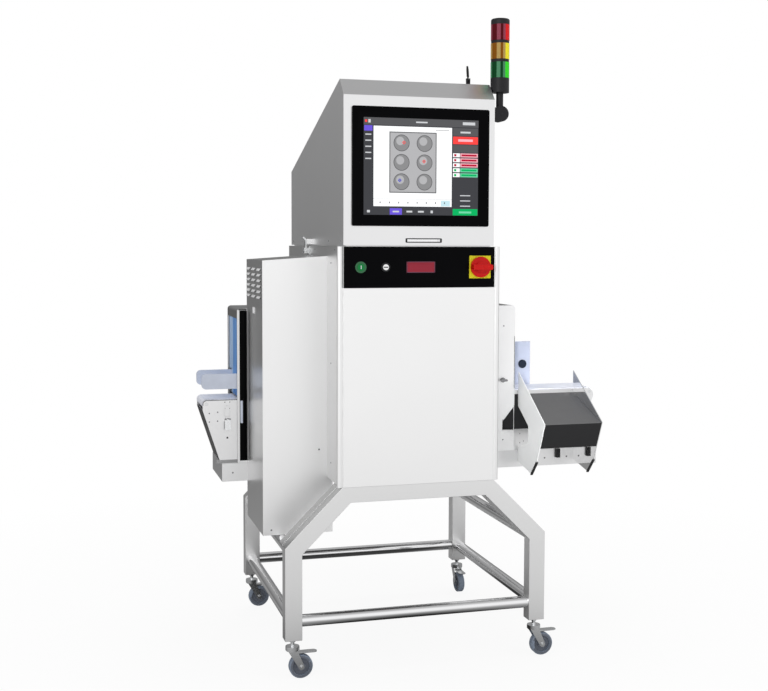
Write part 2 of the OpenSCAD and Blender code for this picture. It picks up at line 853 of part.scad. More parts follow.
module monitor_body() color([0.08, 0.08, 0.09]) difference() {
  union() {
    bar_xz(mon_x - bezel_w / 2, mon_x + bezel_w / 2, mon_z - bezel_h / 2, mon_z + bezel_h / 2,
      hood_front - bezel_proud, hood_front, bezel_r);
    block(mon_x - bezel_w / 2 + mon_side_margin, mon_x + bezel_w / 2 - mon_side_margin, hood_front,
      hood_front + mon_depth, mon_z - bezel_h / 2 + mon_top_margin, mon_z + bezel_h / 2 - mon_top_margin);
  }
  block(mon_x - display_w / 2, mon_x + display_w / 2, hood_front - bezel_proud - cut,
    hood_front - bezel_proud + screen_sink + screen_t, mon_z - display_h / 2, mon_z + display_h / 2);
}
module monitor_screen() color([0.9, 0.92, 0.95])
  block(mon_x - display_w / 2, mon_x + display_w / 2, hood_front - bezel_proud + screen_sink,
    hood_front - bezel_proud + screen_sink + screen_t, mon_z - display_h / 2, mon_z + display_h / 2);
module pull_handle() color("silver") difference() {
  union() {
    bar_xz(pull_x - pull_w / 2, pull_x + pull_w / 2, pull_z - pull_h / 2, pull_z + pull_h / 2,
      hood_front - pull_proud, hood_front, pull_rim);
    block(pull_x - pull_w / 2 + pull_rim, pull_x + pull_w / 2 - pull_rim, hood_front,
      hood_front + pull_pocket, pull_z - pull_h / 2 + pull_wall, pull_z + pull_h / 2 - pull_wall);
  }
  hw = pull_w / 2 - 2 * pull_rim;
  hh = pull_h / 2 - 2 * pull_wall;
  block(pull_x - hw, pull_x + hw, hood_front - pull_proud - cut, hood_front + pull_pocket - pull_wall,
    pull_z - hh, pull_z + hh);
}

// Fixed hinge leaves with their pins, and the latch's base
module hood_hardware() color("silver") {
  half = 3 * knuckle_len / 2 + knuckle_gap;
  for (s = [-1, 1]) {
    x = s * hinge_x;
    block(x - half, x + half, cab_back, cab_back + hinge_leaf_t, hinge_z - hinge_leaf_h,
      hinge_z - hinge_r - knuckle_gap);
    rod_x(hinge_pin_r, x - half, x + half, hinge_y, hinge_z);
    for (side = [-1, 1]) {
      middle = x + side * (knuckle_len + knuckle_gap);
      rod_x(hinge_r, middle - knuckle_len / 2, middle + knuckle_len / 2, hinge_y, hinge_z);
      block(middle - knuckle_len / 2, middle + knuckle_len / 2, cab_back, cab_back + hinge_leaf_t,
        hinge_z - hinge_r - hinge_leaf_t, hinge_z - knuckle_gap);
    }
  }
  block(-cab_hw - latch_base_t, -cab_hw, latch_y - latch_base_w / 2, latch_y + latch_base_w / 2,
    latch_z - latch_base_h / 2, latch_z + latch_base_h / 2);
  for (s = [-1, 1]) {
    y = latch_y + s * (latch_arm_w / 2 + knuckle_gap + latch_base_t / 2);
    block(-cab_hw - 2 * latch_out, -cab_hw, y - latch_base_t / 2, y + latch_base_t / 2,
      latch_z - latch_out, latch_z + latch_out);
  }
  rod_y(latch_pin_r, -cab_hw - latch_out, latch_y - latch_base_w / 2 + knuckle_gap,
    latch_y + latch_base_w / 2 - knuckle_gap, latch_z);
}
module hood_latch_lever() color("silver") difference() {
  x = -cab_hw - latch_out;
  union() {
    rod_y(latch_pin_r + latch_wall, x, latch_y - latch_arm_w / 2, latch_y + latch_arm_w / 2, latch_z);
    plate_xz([[x - latch_pin_r, latch_z], [x + latch_arm_t - latch_pin_r, latch_z],
      [x + latch_arm_t - latch_pin_r, latch_z + latch_arm_len],
      [x - latch_grip_out, latch_z + latch_arm_len + latch_grip_out],
      [x - latch_grip_out - latch_arm_t, latch_z + latch_arm_len + latch_grip_out - latch_arm_t],
      [x - latch_pin_r, latch_z + latch_arm_len - latch_arm_t]],
      latch_y - latch_arm_w / 2, latch_y + latch_arm_w / 2);
  }
  rod_y(latch_pin_r + fit_gap, x, latch_y - latch_arm_w, latch_y + latch_arm_w, latch_z);
}

// Signal light on a folding bracket at the hood's side
module tower_bracket() color([0.12, 0.12, 0.13]) {
  block(hood_hw, hood_hw + bracket_t, tower_y - bracket_half, tower_y + bracket_half,
    tower_z - bracket_half, tower_z + bracket_half);
  y0 = tower_y + tower_disc_t / 2 + seat_gap;
  lug_r = tower_disc_r * lug_share;
  block(hood_hw, tower_x, y0, y0 + lug_t, tower_z - lug_r, tower_z + lug_r);
  rod_y(lug_r, tower_x, y0, y0 + lug_t, tower_z);
  rod_y(tower_pin_r, tower_x, tower_y - tower_disc_t / 2 - seat_gap, y0 + cut, tower_z);
}
module tower_body() color([0.1, 0.1, 0.11]) {
  difference() {
    union() {
      rod_y(tower_disc_r, tower_x, tower_y - tower_disc_t / 2, tower_y + tower_disc_t / 2, tower_z);
      rod_z(stem_r, tower_x, tower_y, tower_z, stack_z);
    }
    rod_y(tower_pin_r + fit_gap, tower_x, tower_y - tower_disc_t, tower_y + tower_disc_t, tower_z);
  }
  rod_z(lens_r, tower_x, tower_y, stack_z, stack_z + light_base_h);
  for (i = [0, 1]) rod_z(lens_r - light_ring_in, tower_x, tower_y, lens_low(i) + lens_h, lens_low(i + 1));
  rod_z(lens_r, tower_x, tower_y, lens_low(2) + lens_h, lens_low(2) + lens_h + light_cap_h - light_cap_r);
  translate([tower_x, tower_y, lens_low(2) + lens_h]) rotate_extrude() {
    square([lens_r - light_cap_r, light_cap_h]);
    intersection() {
      translate([lens_r - light_cap_r, light_cap_h - light_cap_r]) circle(r = light_cap_r);
      square([lens_r, light_cap_h]);
    }
  }
  rod_z(light_core_r, tower_x, tower_y, stack_z, lens_low(2) + lens_h + light_cap_h / 2);
}
function lens_low(i) = stack_z + light_base_h + i * (lens_h + light_ring_h);
module lens(i) difference() {
  rod_z(lens_r, tower_x, tower_y, lens_low(i), lens_low(i) + lens_h);
  rod_z(lens_r - lens_wall, tower_x, tower_y, lens_low(i) - cut, lens_low(i) + lens_h + cut);
}
module green_lens() color([0.05, 0.65, 0.2]) lens(0);
module amber_lens() color([0.95, 0.7, 0.1]) lens(1);
module red_lens() color([0.8, 0.08, 0.08]) lens(2);
module antenna_whip() color([0.1, 0.1, 0.1]) translate([whip_x, whip_y, whip_pivot_z]) difference() {
  union() {
    intersection() {
      rod_x(whip_tongue - seat_gap, -whip_tongue_t + seat_gap, whip_tongue_t - seat_gap, 0, 0);
      block(-whip_tongue_t, whip_tongue_t, -whip_tongue, whip_tongue, -whip_tongue, whip_tongue);
    }
    rotate([0, -whip_lean, 0]) {
      rod_z(whip_root_r, 0, 0, whip_tongue / 2, 2 * whip_tongue);
      translate([0, 0, 3 * whip_tongue / 2]) cylinder(r1 = whip_root_r, r2 = whip_r, h = whip_tongue / 2);
      rod_z(whip_r, 0, 0, 2 * whip_tongue, whip_len - whip_tip_len);
      translate([0, 0, whip_len - whip_tip_len]) cylinder(r1 = whip_r, r2 = whip_tip_r, h = whip_tip_len);
    }
  }
  rod_x(whip_pin_r + fit_gap, -whip_boss_r, whip_boss_r, 0, 0);
}

// Base channel: a folded tray, open below, that carries the conveyor, with a notch at its outfeed end
module base_channel() color("silver") difference() {
  block(channel_left, channel_right, tunnel_y, channel_back, channel_low, frame_h);
  block(channel_left + channel_t, channel_right - channel_t, tunnel_y + channel_t, channel_back - channel_t,
    channel_low - cut, frame_h - channel_t);
  block(channel_right - notch_edge - notch_w, channel_right - notch_edge, tunnel_y - cut,
    tunnel_y + channel_t + cut, channel_low + notch_up, channel_low + notch_up + notch_h);
}

// Conveyor: two side plates with round noses, a slider bed, ties and the latch's plates
module side_plate(y0, y1) {
  plate_xz([[infeed_nose_x, side_top], [infeed_nose_x - side_nose_r, nose_z],
    [-infeed_reach + plate_in, plate_drop_z], [-plate_knee_x, plate_knee_z],
    [-foot_slope_x, frame_h], [outfeed_foot_x, frame_h],
    [outfeed_reach, side_top - corner_r], [outfeed_reach - corner_r, side_top]], y0, y1);
  rod_y(side_nose_r, infeed_nose_x, y0, y1, nose_z);
  rod_y(corner_r, outfeed_reach - corner_r, y0, y1, side_top - corner_r);
}
module conveyor_frame() color("whitesmoke") {
  for (s = [-1, 1]) {
    y0 = conv_y + min(s * side_in, s * (side_in + side_t));
    difference() {
      side_plate(y0, y0 + side_t);
      for (k = [[infeed_nose_x, nose_z], [outfeed_nose_x, nose_z], [drive_x, drive_z]])
        rod_y(journal_r + fit_gap, k[0], y0 - cut, y0 + side_t + cut, k[1]);
    }
  }
  block(infeed_nose_x + 2 * nose_r, outfeed_nose_x - 2 * nose_r, conv_y - side_in, conv_y + side_in,
    belt_z - belt_t - seat_gap - bed_t, belt_z - belt_t - seat_gap);
  for (x = [-tie_x, 0, tie_x]) rod_y(tie_r, x, conv_y - side_in, conv_y + side_in, tie_z);
  y0 = conv_y - side_in - side_t;
  block(draw_x - draw_w / 2, draw_x + draw_w / 2, y0 - draw_plate_t, y0, draw_top - draw_keeper_h, draw_top);
  block(draw_x - draw_w / 2, draw_x + draw_w / 2, y0 - draw_plate_t, y0,
    draw_base_low, draw_base_low + draw_base_h);
  for (s = [-1, 1]) {
    x = draw_x + s * (draw_w / 2 - draw_plate_t / 2);
    block(x - draw_plate_t / 2, x + draw_plate_t / 2, y0 - draw_pin_out - draw_pin_r - draw_plate_t, y0,
      draw_pin_z - draw_pin_r - draw_plate_t, draw_pin_z + draw_pin_r + draw_plate_t);
  }
  rod_x(draw_pin_r, draw_x - draw_w / 2, draw_x + draw_w / 2, y0 - draw_pin_out, draw_pin_z);
  hook_y = y0 - draw_plate_t - hook_reach;
  block(draw_x - hook_w / 2, draw_x + hook_w / 2, hook_y, y0 - draw_plate_t, hook_z, hook_z + hook_t);
  block(draw_x - hook_w / 2, draw_x + hook_w / 2, hook_y - hook_lip, hook_y, hook_z, hook_z + hook_lip_h);
  difference() {
    bail_loop(0, bail_t / 2);
    bail_loop(bail_t, bail_t);
  }
  top_x = end_cover_in - infeed_reach + plate_in;
  low_x = end_cover_in - plate_knee_x;
  plate_xz([[top_x, plate_drop_z], [low_x, plate_knee_z], [low_x + end_cover_t, plate_knee_z],
    [top_x + end_cover_t, plate_drop_z]], conv_y - side_in, conv_y + side_in);
}
module bail_loop(inward, half) {
  y = conv_y - side_in - side_t - bail_out;
  bar_xz(draw_x - bail_hw + inward, draw_x + bail_hw - inward, bail_low + inward, bail_high - inward,
    y - half, y + half, bail_r - inward);
}
// The belt runs over both noses and down round the drive roller
module belt_outline(grow, y0, y1) loop_xz([[infeed_nose_x, nose_z, nose_r + grow],
  [drive_x, drive_z, drive_r + grow], [outfeed_nose_x, nose_z, nose_r + grow]], y0, y1);
module belt() color("aliceblue") difference() {
  belt_outline(belt_run + belt_t, conv_y - belt_w / 2, conv_y + belt_w / 2);
  belt_outline(belt_run, conv_y - belt_w, conv_y + belt_w);
}
module roller(x, z, r) {
  reach = side_in + side_t;
  rod_y(r, x, conv_y - belt_w / 2, conv_y + belt_w / 2, z);
  rod_y(journal_r, x, conv_y - reach, conv_y + reach, z);
}
module infeed_roller() color("silver") roller(infeed_nose_x, nose_z, nose_r);
module outfeed_roller() color("silver") roller(outfeed_nose_x, nose_z, nose_r);
module drive_roller() color("silver") {
  roller(drive_x, drive_z, drive_r);
  rod_y(journal_r, drive_x, conv_y, conv_y + side_in + side_t + gear_d - gear_wall, drive_z);
}
module gear_motor() color([0.42, 0.45, 0.5]) {
  y0 = conv_y + side_in + side_t;
  difference() {
    block(drive_x - gear_w / 2, drive_x + gear_w / 2, y0, y0 + gear_d,
      drive_z - gear_w / 2, drive_z + gear_w / 2);
    rod_y(journal_r + fit_gap, drive_x, y0 - cut, y0 + gear_d - gear_wall + fit_gap, drive_z);
  }
  rod_y(motor_r, drive_x, y0 + gear_d, y0 + gear_d + motor_len, drive_z);
}
module guide_rails() color([0.72, 0.78, 0.9]) for (s = [-1, 1]) {
  y0 = conv_y + min(s * guide_in, s * (guide_in + guide_t));
  bar_xz(guide_start, guide_end, guide_low, guide_low + guide_h, y0, y0 + guide_t, guide_r);
  p0 = conv_y + min(s * side_in, s * (side_in + side_t));
  for (x = [-guide_post_x, 0, guide_post_x])
    block(x - guide_post_w / 2, x + guide_post_w / 2, p0, p0 + side_t, side_top, guide_low + guide_r);
}

// Tunnel hoods beside the cabinet: open below and at the cabinet, with a mouth in the end wall
module housing(s, reach) {
  end = s * (cab_hw + reach);
  inner = end - s * tunnel_t;
  round_x = end - s * housing_r;
  difference() {
    union() {
      block(min(s * cab_hw, end), max(s * cab_hw, end), tunnel_y, tun_back, frame_h, tun_top - housing_r);
      block(min(s * cab_hw, round_x), max(s * cab_hw, round_x), tunnel_y, tun_back, frame_h, tun_top);
      rod_y(housing_r, round_x, tunnel_y, tun_back, tun_top - housing_r);
    }
    block(min(s * (cab_hw - cut), inner), max(s * (cab_hw - cut), inner), tun_in, tun_back_in,
      frame_h - cut, tun_ceiling);
    block(min(inner - s * cut, end + s * cut), max(inner - s * cut, end + s * cut),
      tun_in + mouth_margin, tun_back_in - mouth_back_margin, belt_z, mouth_top);
    block(min(inner - s * cut, end + s * cut), max(inner - s * cut, end + s * cut),
      tun_in, conv_y + side_in + side_t + plate_gap, frame_h - cut, belt_z + mouth_margin);
  }
}
module infeed_housing() color("silver") difference() {
  housing(-1, infeed_len);
  block(infeed_end + trim_w, box_left, tunnel_y - cut, tunnel_y + trim_t,
    frame_h + trim_w, tun_top - housing_r);
}
module outfeed_notch() plate_xz([[outfeed_end + cut, shape_notch_top + cut],
  [outfeed_end - shape_notch_w, shape_notch_side], [outfeed_end - shape_notch_w, shape_notch_low],
  [outfeed_end + cut, shape_notch_low]], tunnel_y - 2 * door_t, tun_in);
module door_hinges(first) for (k = door_hinge_share) {
  z = door_low + k * (door_high - door_low);
  for (i = first)
    translate([0, 0, z + i * (knuckle_len + knuckle_gap)]) children();
}
module outfeed_housing() color("silver") {
  difference() {
    housing(1, outfeed_len);
    block(door_left + door_margin, door_right - door_margin, tunnel_y - cut, tun_in + cut,
      door_low + door_margin, door_high - door_margin);
    outfeed_notch();
  }
  door_hinges([-1, 1]) {
    rod_z(door_barrel_r, door_hinge_x, door_pin_y, -knuckle_len / 2, knuckle_len / 2);
    block(cab_hw + door_leaf_in, door_hinge_x, tunnel_y - door_t, tunnel_y,
      -knuckle_len / 2, knuckle_len / 2);
  }
  door_hinges([0])
    rod_z(door_pin_r, door_hinge_x, door_pin_y, -knuckle_len, knuckle_len);
}
module outfeed_door() color("silver") difference() {
  union() {
    difference() {
      block(door_left, door_right, door_y - door_t, door_y, door_low, door_high);
      outfeed_notch();
    }
    door_hinges([0]) {
      rod_z(door_barrel_r, door_hinge_x, door_pin_y, -knuckle_len / 2, knuckle_len / 2);
      block(door_hinge_x, door_left + cut, door_y - door_t, door_y, -knuckle_len / 2, knuckle_len / 2);
    }
  }
  door_hinges([0]) rod_z(door_pin_r + fit_gap, door_hinge_x, door_pin_y, -knuckle_len, knuckle_len);
  rod_y(door_knob_r + fit_gap, door_knob_x, tunnel_y - 2 * door_t, tunnel_y + cut, door_knob_z);
}
module door_knob() color("dimgray") {
  face = door_y - door_t - seat_gap;
  rod_y(door_knob_r, door_knob_x, face - door_knob_out, tunnel_y + seat_gap + door_t, door_knob_z);
  rod_y(door_collar_r, door_knob_x, face - door_t, face, door_knob_z);
  half = door_bar_len / 2 - door_knob_r;
  loop_xz([[door_knob_x - half, door_knob_z, door_knob_r], [door_knob_x + half, door_knob_z, door_knob_r]],
    face - door_knob_out, face - door_knob_out + 2 * door_knob_r);
  loop_xz([[door_knob_x, door_knob_z, door_knob_r],
    [door_right - door_margin - joint_gap - door_knob_r, door_knob_z, door_knob_r]],
    tunnel_y + seat_gap, tunnel_y + seat_gap + door_t);
}

// Curtains: strips that hang inside each mouth, cut out round the guide bars
module curtain(x0) difference() {
  for (i = [0:strip_count - 1]) {
    y0 = conv_y - belt_w / 2 - strip_over + i * strip_pitch;
    block(x0, x0 + strip_t, y0, y0 + strip_pitch - strip_gap, belt_z + strip_up, tun_ceiling - seat_gap);
  }
  for (s = [-1, 1])
    block(x0 - cut, x0 + strip_t + cut, conv_y + min(s * (guide_in - strip_gap), s * belt_w),
      conv_y + max(s * (guide_in - strip_gap), s * belt_w), belt_z, guide_low + guide_h + strip_gap);
}
module curtains() color([0.45, 0.62, 0.85]) {
  curtain(infeed_end + tunnel_t + seat_gap);
  curtain(outfeed_end - tunnel_t - seat_gap - strip_t);
}
module belt_latch_lever() color("silver") difference() {
  y = conv_y - side_in - side_t - draw_pin_out;
  hw = draw_w / 2 - draw_plate_t - knuckle_gap;
  union() {
    rod_x(draw_pin_r + draw_wall, draw_x - hw, draw_x + hw, y, draw_pin_z);
    plate_yz([[y - draw_pin_r - draw_wall, draw_pin_z], [y + draw_wall - draw_pin_r, draw_pin_z],
      [y + draw_wall - draw_pin_r, draw_base_low + draw_tip],
      [y - draw_pin_r - draw_wall - draw_tip, draw_base_low],
      [y - draw_pin_r - 2 * draw_wall - draw_tip, draw_base_low]], draw_x - hw, draw_x + hw);
  }
  rod_x(draw_pin_r + fit_gap, draw_x - draw_w, draw_x + draw_w, y, draw_pin_z);
}

// Reject pusher: a box behind the belt with a disc on a rod
module pusher_box() color([0.62, 0.66, 0.76]) difference() {
  y0 = conv_y + side_in + side_t;
  plate_yz([[y0, push_box_low], [y0 + push_box_d, push_box_low],
    [y0 + push_box_d, push_box_low + push_box_h - push_box_slope], [y0, push_box_low + push_box_h]],
    push_x - push_box_w / 2, push_x + push_box_w / 2);
  rod_y(push_rod_r + push_run, push_x, y0 - cut, y0 + push_box_d - body_wall, push_z);
}
module pusher_head() color([0.12, 0.13, 0.17]) {
  y0 = conv_y + side_in + side_t - seat_gap;
  rod_y(push_head_r, push_x, y0 - push_head_t, y0, push_z);
  rod_y(push_rod_r, push_x, y0 - cut, y0 + push_box_d - 2 * body_wall, push_z);
}

// Reject slide between two cheeks that hang on the conveyor's front
module chute_cheeks() color("silver") for (x = [cheek_left, cheek_left + cheek_t + slide_w])
  plate_yz([[tun_in, frame_h + apex_h], [tunnel_y - ridge_out, frame_h + ridge_up],
    [tunnel_y - heel_out, frame_h + heel_up], [tunnel_y - fin_out, frame_h - fin_down],
    [tunnel_y - tip_out, frame_h - tip_down], [tunnel_y, frame_h - root_down], [tunnel_y, frame_h + root_up],
    [tunnel_y - throat_out, frame_h + throat_low], [tunnel_y - throat_out, frame_h + throat_high],
    [tun_in, frame_h + seat_up]], x, x + cheek_t);
module chute_slide() color([0.2, 0.2, 0.21]) {
  outer = [[tunnel_y - heel_out + slide_in, frame_h + heel_up], [tun_in, frame_h + heel_up],
    [tun_in, frame_h + slide_up], [tunnel_y - ridge_out + slide_in, frame_h + ridge_up - slide_in]];
  inner = inset(outer, slide_t);
  plate_yz([outer[2], outer[3], outer[0], [inner[0][0], outer[0][1]], inner[3], [outer[2][0], inner[2][1]]],
    cheek_left + cheek_t, cheek_left + cheek_t + slide_w);
  block(outfeed_end - skirt_back, drive_x + skirt_reach, tun_in, conv_y - side_in - side_t,
    frame_h + skirt_low, frame_h + slide_up);
  block(drive_x - stop_w, drive_x - stop_w / 2, tunnel_y - stop_d, tunnel_y, frame_h - stop_down, frame_h);
  fin = [tunnel_y - fin_out, frame_h - fin_down];
  tip = [tunnel_y - tip_out, frame_h - tip_down];
  along = (tip - fin) / norm(tip - fin);
  out = edge_trim_t * [along[1], -along[0]];
  for (x = [cheek_left, cheek_left + cheek_t + slide_w])
    plate_yz([fin, tip, tip + out, fin + out], x - edge_trim_w / 2, x + edge_trim_w / 2);
}

// Casters: each fork swivels on a stem under a leg, with a wheel and a brake pedal
corners = [[-rail_x, -rail_y, 0], [rail_x, -rail_y, 0], [-rail_x, rail_y, 0], [rail_x, rail_y, -90]];
module at_corner(i) translate([corners[i][0], corners[i][1], 0]) rotate([0, 0, corners[i][2]]) children();
module caster_stems() color("silver") for (i = [0:len(corners) - 1]) at_corner(i) {
  rod_z(caster_stem_r, 0, 0, fork_plate_low - stem_head_h, foot_z);
  rod_z(stem_head_r, 0, 0, fork_plate_low - seat_gap - stem_head_h, fork_plate_low - seat_gap);
  translate([0, 0, foot_z - stem_nut_h]) cylinder(r = stem_nut_r, h = stem_nut_h, $fn = 6);
}
module caster_fork(i) color("silver") at_corner(i) difference() {
  union() {
    rod_z(fork_plate_r, 0, 0, fork_plate_low, fork_plate_low + fork_t);
    rod_z(race_r, 0, 0, fork_plate_low + fork_t, fork_plate_low + fork_t + race_h);
    for (s = [-1, 1]) {
      y0 = min(s * fork_in, s * (fork_in + fork_t));
      loop_xz([[caster_trail, wheel_z, fork_boss_r],
        [fork_plate_r * blade_share, fork_plate_low, fork_t],
        [-fork_plate_r * blade_share, fork_plate_low, fork_t]], y0, y0 + fork_t);
    }
    rod_y(axle_r, caster_trail, -fork_in - fork_t, fork_in + fork_t, wheel_z);
    rod_y(pedal_pin_r, pedal_pin_x, -fork_in - fork_t, fork_in + fork_t, pedal_z);
  }
  rod_z(caster_stem_r + fit_gap, 0, 0, fork_plate_low - fork_boss_r, foot_z);
}
module caster_wheel(i) color([0.45, 0.48, 0.52]) at_corner(i)
  translate([caster_trail, 0, wheel_z]) rotate([90, 0, 0]) rotate_extrude() {
    half = wheel_w / 2;
    hub = fork_in - seat_gap;
    bore = axle_r + axle_gap;
    polygon([[bore, -hub], [hub_r, -hub], [hub_r, -web_t / 2], [rim_r, -web_t / 2], [rim_r, -half],
      [wheel_r - tread_r, -half], [wheel_r, tread_r - half], [wheel_r, half - tread_r],
      [wheel_r - tread_r, half], [rim_r, half], [rim_r, web_t / 2], [hub_r, web_t / 2],
      [hub_r, hub], [bore, hub]]);
  }
module brake_pedal(i) color("silver") at_corner(i) difference() {
  union() {
    rod_y(pedal_pin_r + pedal_wall, pedal_pin_x, -pedal_hw, pedal_hw, pedal_z);
    end = pedal_pin_x + pedal_len - pedal_hw;
    block(pedal_pin_x, end, -pedal_hw, pedal_hw, pedal_z - pedal_t / 2, pedal_z + pedal_t / 2);
    rod_z(pedal_hw, end, 0, pedal_z - pedal_t / 2, pedal_z + pedal_t / 2);
  }
  rod_y(pedal_pin_r + fit_gap, pedal_pin_x, -2 * pedal_hw, 2 * pedal_hw, pedal_z);
}

front_frame();
rear_frame();
rails();
cabinet_shell();
front_panel();
control_panel();
side_enclosure();
tunnel_duct();
generator();
detector();
electrics();
switch_bodies();
start_button();
key_switch();
number_display();
switch_plate();
main_switch_knob();
hood_shell();
monitor_body();
monitor_screen();
pull_handle();
hood_hardware();
hood_latch_lever();
tower_bracket();
tower_body();
red_lens();
amber_lens();
green_lens();
antenna_whip();
base_channel();
conveyor_frame();
belt();
infeed_roller();
outfeed_roller();
drive_roller();
gear_motor();
guide_rails();
infeed_housing();
outfeed_housing();
outfeed_door();
door_knob();
curtains();
belt_latch_lever();
pusher_box();
pusher_head();
chute_cheeks();
chute_slide();
caster_stems();
caster_fork(0);  // caster_fork_front_left
caster_fork(1);  // caster_fork_front_right
caster_fork(2);  // caster_fork_rear_left
caster_fork(3);  // caster_fork_rear_right
caster_wheel(0);  // caster_wheel_front_left
caster_wheel(1);  // caster_wheel_front_right
caster_wheel(2);  // caster_wheel_rear_left
caster_wheel(3);  // caster_wheel_rear_right
brake_pedal(0);  // brake_pedal_front_left
brake_pedal(1);  // brake_pedal_front_right
brake_pedal(2);  // brake_pedal_rear_left
brake_pedal(3);  // brake_pedal_rear_right
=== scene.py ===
import bpy, bmesh, json
from math import radians, degrees, sin, cos, atan2, pi
from mathutils import Matrix, Vector


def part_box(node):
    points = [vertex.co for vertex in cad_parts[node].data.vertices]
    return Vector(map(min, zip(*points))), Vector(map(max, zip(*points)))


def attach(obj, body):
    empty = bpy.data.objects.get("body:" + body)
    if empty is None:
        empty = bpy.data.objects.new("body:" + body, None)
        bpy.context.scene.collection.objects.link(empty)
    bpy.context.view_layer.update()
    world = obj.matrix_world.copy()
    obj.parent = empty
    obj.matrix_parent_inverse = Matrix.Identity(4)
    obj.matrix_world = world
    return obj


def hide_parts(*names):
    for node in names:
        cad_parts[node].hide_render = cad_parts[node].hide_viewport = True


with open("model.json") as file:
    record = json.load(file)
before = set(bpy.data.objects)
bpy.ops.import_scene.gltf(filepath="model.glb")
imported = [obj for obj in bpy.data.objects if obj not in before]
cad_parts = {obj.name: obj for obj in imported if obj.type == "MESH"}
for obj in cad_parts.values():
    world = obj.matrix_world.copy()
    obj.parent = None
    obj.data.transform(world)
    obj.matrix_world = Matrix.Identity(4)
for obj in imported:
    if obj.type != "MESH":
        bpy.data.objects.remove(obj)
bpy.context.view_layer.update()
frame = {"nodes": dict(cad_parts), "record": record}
cad = frame["nodes"]
print("frame loaded:", len(cad), "nodes")

# how each kind of finish is made: its noise, its relief, and shares of its roughness and tone
brushedLook = {"lines": 1500, "drawn": 0.012, "detail": 2.0, "slowScale": 2.2, "roughShares": (0.93, 1.07),
               "toneShare": 0.98, "bump": 0.025, "depth": 0.0002}
polishedLook = {"smearScale": 9.0, "smearDetail": 4.0, "fineScale": 1400.0, "fineDetail": 1.0,
                "roughShares": (0.7, 1.5), "toneShare": 0.95, "bump": 0.05, "depth": 0.00005}
mouldedLook = {"fineDetail": 2.0, "slowScale": 14.0, "slowDetail": 3.0, "roughShares": (0.85, 1.2),
               "depth": 0.0001}
glowLook = {"paintShare": 0.35, "shine": 0.08, "fineScale": 900.0, "fineDetail": 1.0,
            "roughShares": (0.8, 1.3)}
noiseSpan = (0.3, 0.7)   # nearly all of the noise lies between these
allAxes = (1.0, 1.0, 1.0)


def startMaterial(name, colour, rough, metallic=0.0, shine=0.5):
    material = bpy.data.materials.new(name)
    material.use_nodes = True
    shader = material.node_tree.nodes["Principled BSDF"]
    look = {"Base Color": (*colour, 1), "Roughness": rough, "Metallic": metallic, "Specular IOR Level": shine}
    for socket, value in look.items():
        shader.inputs[socket].default_value = value
    return material, shader


def mapRange(tree, value, fromLow, fromHigh, low, high):
    # carries a value over from one range to another
    node = tree.nodes.new("ShaderNodeMapRange")
    for socket, number in (("From Min", fromLow), ("From Max", fromHigh), ("To Min", low), ("To Max", high)):
        node.inputs[socket].default_value = number
    tree.links.new(value, node.inputs["Value"])
    return node.outputs["Result"]


def grain(material, scale, detail, stretch=allAxes):
    # noise on object coordinates; a small stretch value draws it out along that axis
    nodes, links = material.node_tree.nodes, material.node_tree.links
    place = nodes.new("ShaderNodeTexCoord")
    mapping = nodes.new("ShaderNodeMapping")
    mapping.inputs["Scale"].default_value = stretch
    noise = nodes.new("ShaderNodeTexNoise")
    noise.inputs["Scale"].default_value = scale
    noise.inputs["Detail"].default_value = detail
    links.new(place.outputs["Object"], mapping.inputs["Vector"])
    links.new(mapping.outputs["Vector"], noise.inputs["Vector"])
    return noise.outputs["Fac"]


def scaled(colour, factor):
    return tuple(c * factor for c in colour)


def varyRoughness(material, shader, fac, rough, shares):
    low, high = (min(1.0, rough * share) for share in shares)
    material.node_tree.links.new(mapRange(material.node_tree, fac, *noiseSpan, low, high),
                                 shader.inputs["Roughness"])


def varyColour(material, shader, fac, colour, toneShare):
    # the tone wanders between a share of the colour and the colour itself
    nodes, links = material.node_tree.nodes, material.node_tree.links
    ramp = nodes.new("ShaderNodeValToRGB")
    tones = (scaled(colour, toneShare), colour)
    for element, position, tone in zip(ramp.color_ramp.elements, noiseSpan, tones):
        element.position = position
        element.color = (*tone, 1)
    links.new(fac, ramp.inputs["Fac"])
    links.new(ramp.outputs["Color"], shader.inputs["Base Color"])


def addRelief(material, shader, fac, strength, depth):
    nodes, links = material.node_tree.nodes, material.node_tree.links
    bump = nodes.new("ShaderNodeBump")
    bump.inputs["Strength"].default_value = strength
    bump.inputs["Distance"].default_value = depth
    links.new(fac, bump.inputs["Height"])
    links.new(bump.outputs["Normal"], shader.inputs["Normal"])


def brushedSteel(name, colour, rough, along, metallic=1.0):
    # fine lines along one axis, and a slow change of tone like rolled sheet
    material, shader = startMaterial(name, colour, rough, metallic)
    stretch = [brushedLook["drawn"] if axis == along else 1.0 for axis in range(3)]
    fine = grain(material, brushedLook["lines"], brushedLook["detail"], stretch)
    slow = grain(material, brushedLook["slowScale"], brushedLook["detail"])
    varyRoughness(material, shader, fine, rough, brushedLook["roughShares"])
    varyColour(material, shader, slow, colour, brushedLook["toneShare"])
    addRelief(material, shader, fine, brushedLook["bump"], brushedLook["depth"])
    return material


def polishedSteel(name, colour, rough):
    # a mirror with faint smears
    material, shader = startMaterial(name, colour, rough, 1.0)
    smear = grain(material, polishedLook["smearScale"], polishedLook["smearDetail"])
    fine = grain(material, polishedLook["fineScale"], polishedLook["fineDetail"])
    varyRoughness(material, shader, smear, rough, polishedLook["roughShares"])
    varyColour(material, shader, smear, colour, polishedLook["toneShare"])
    addRelief(material, shader, fine, polishedLook["bump"], polishedLook["depth"])
    return material


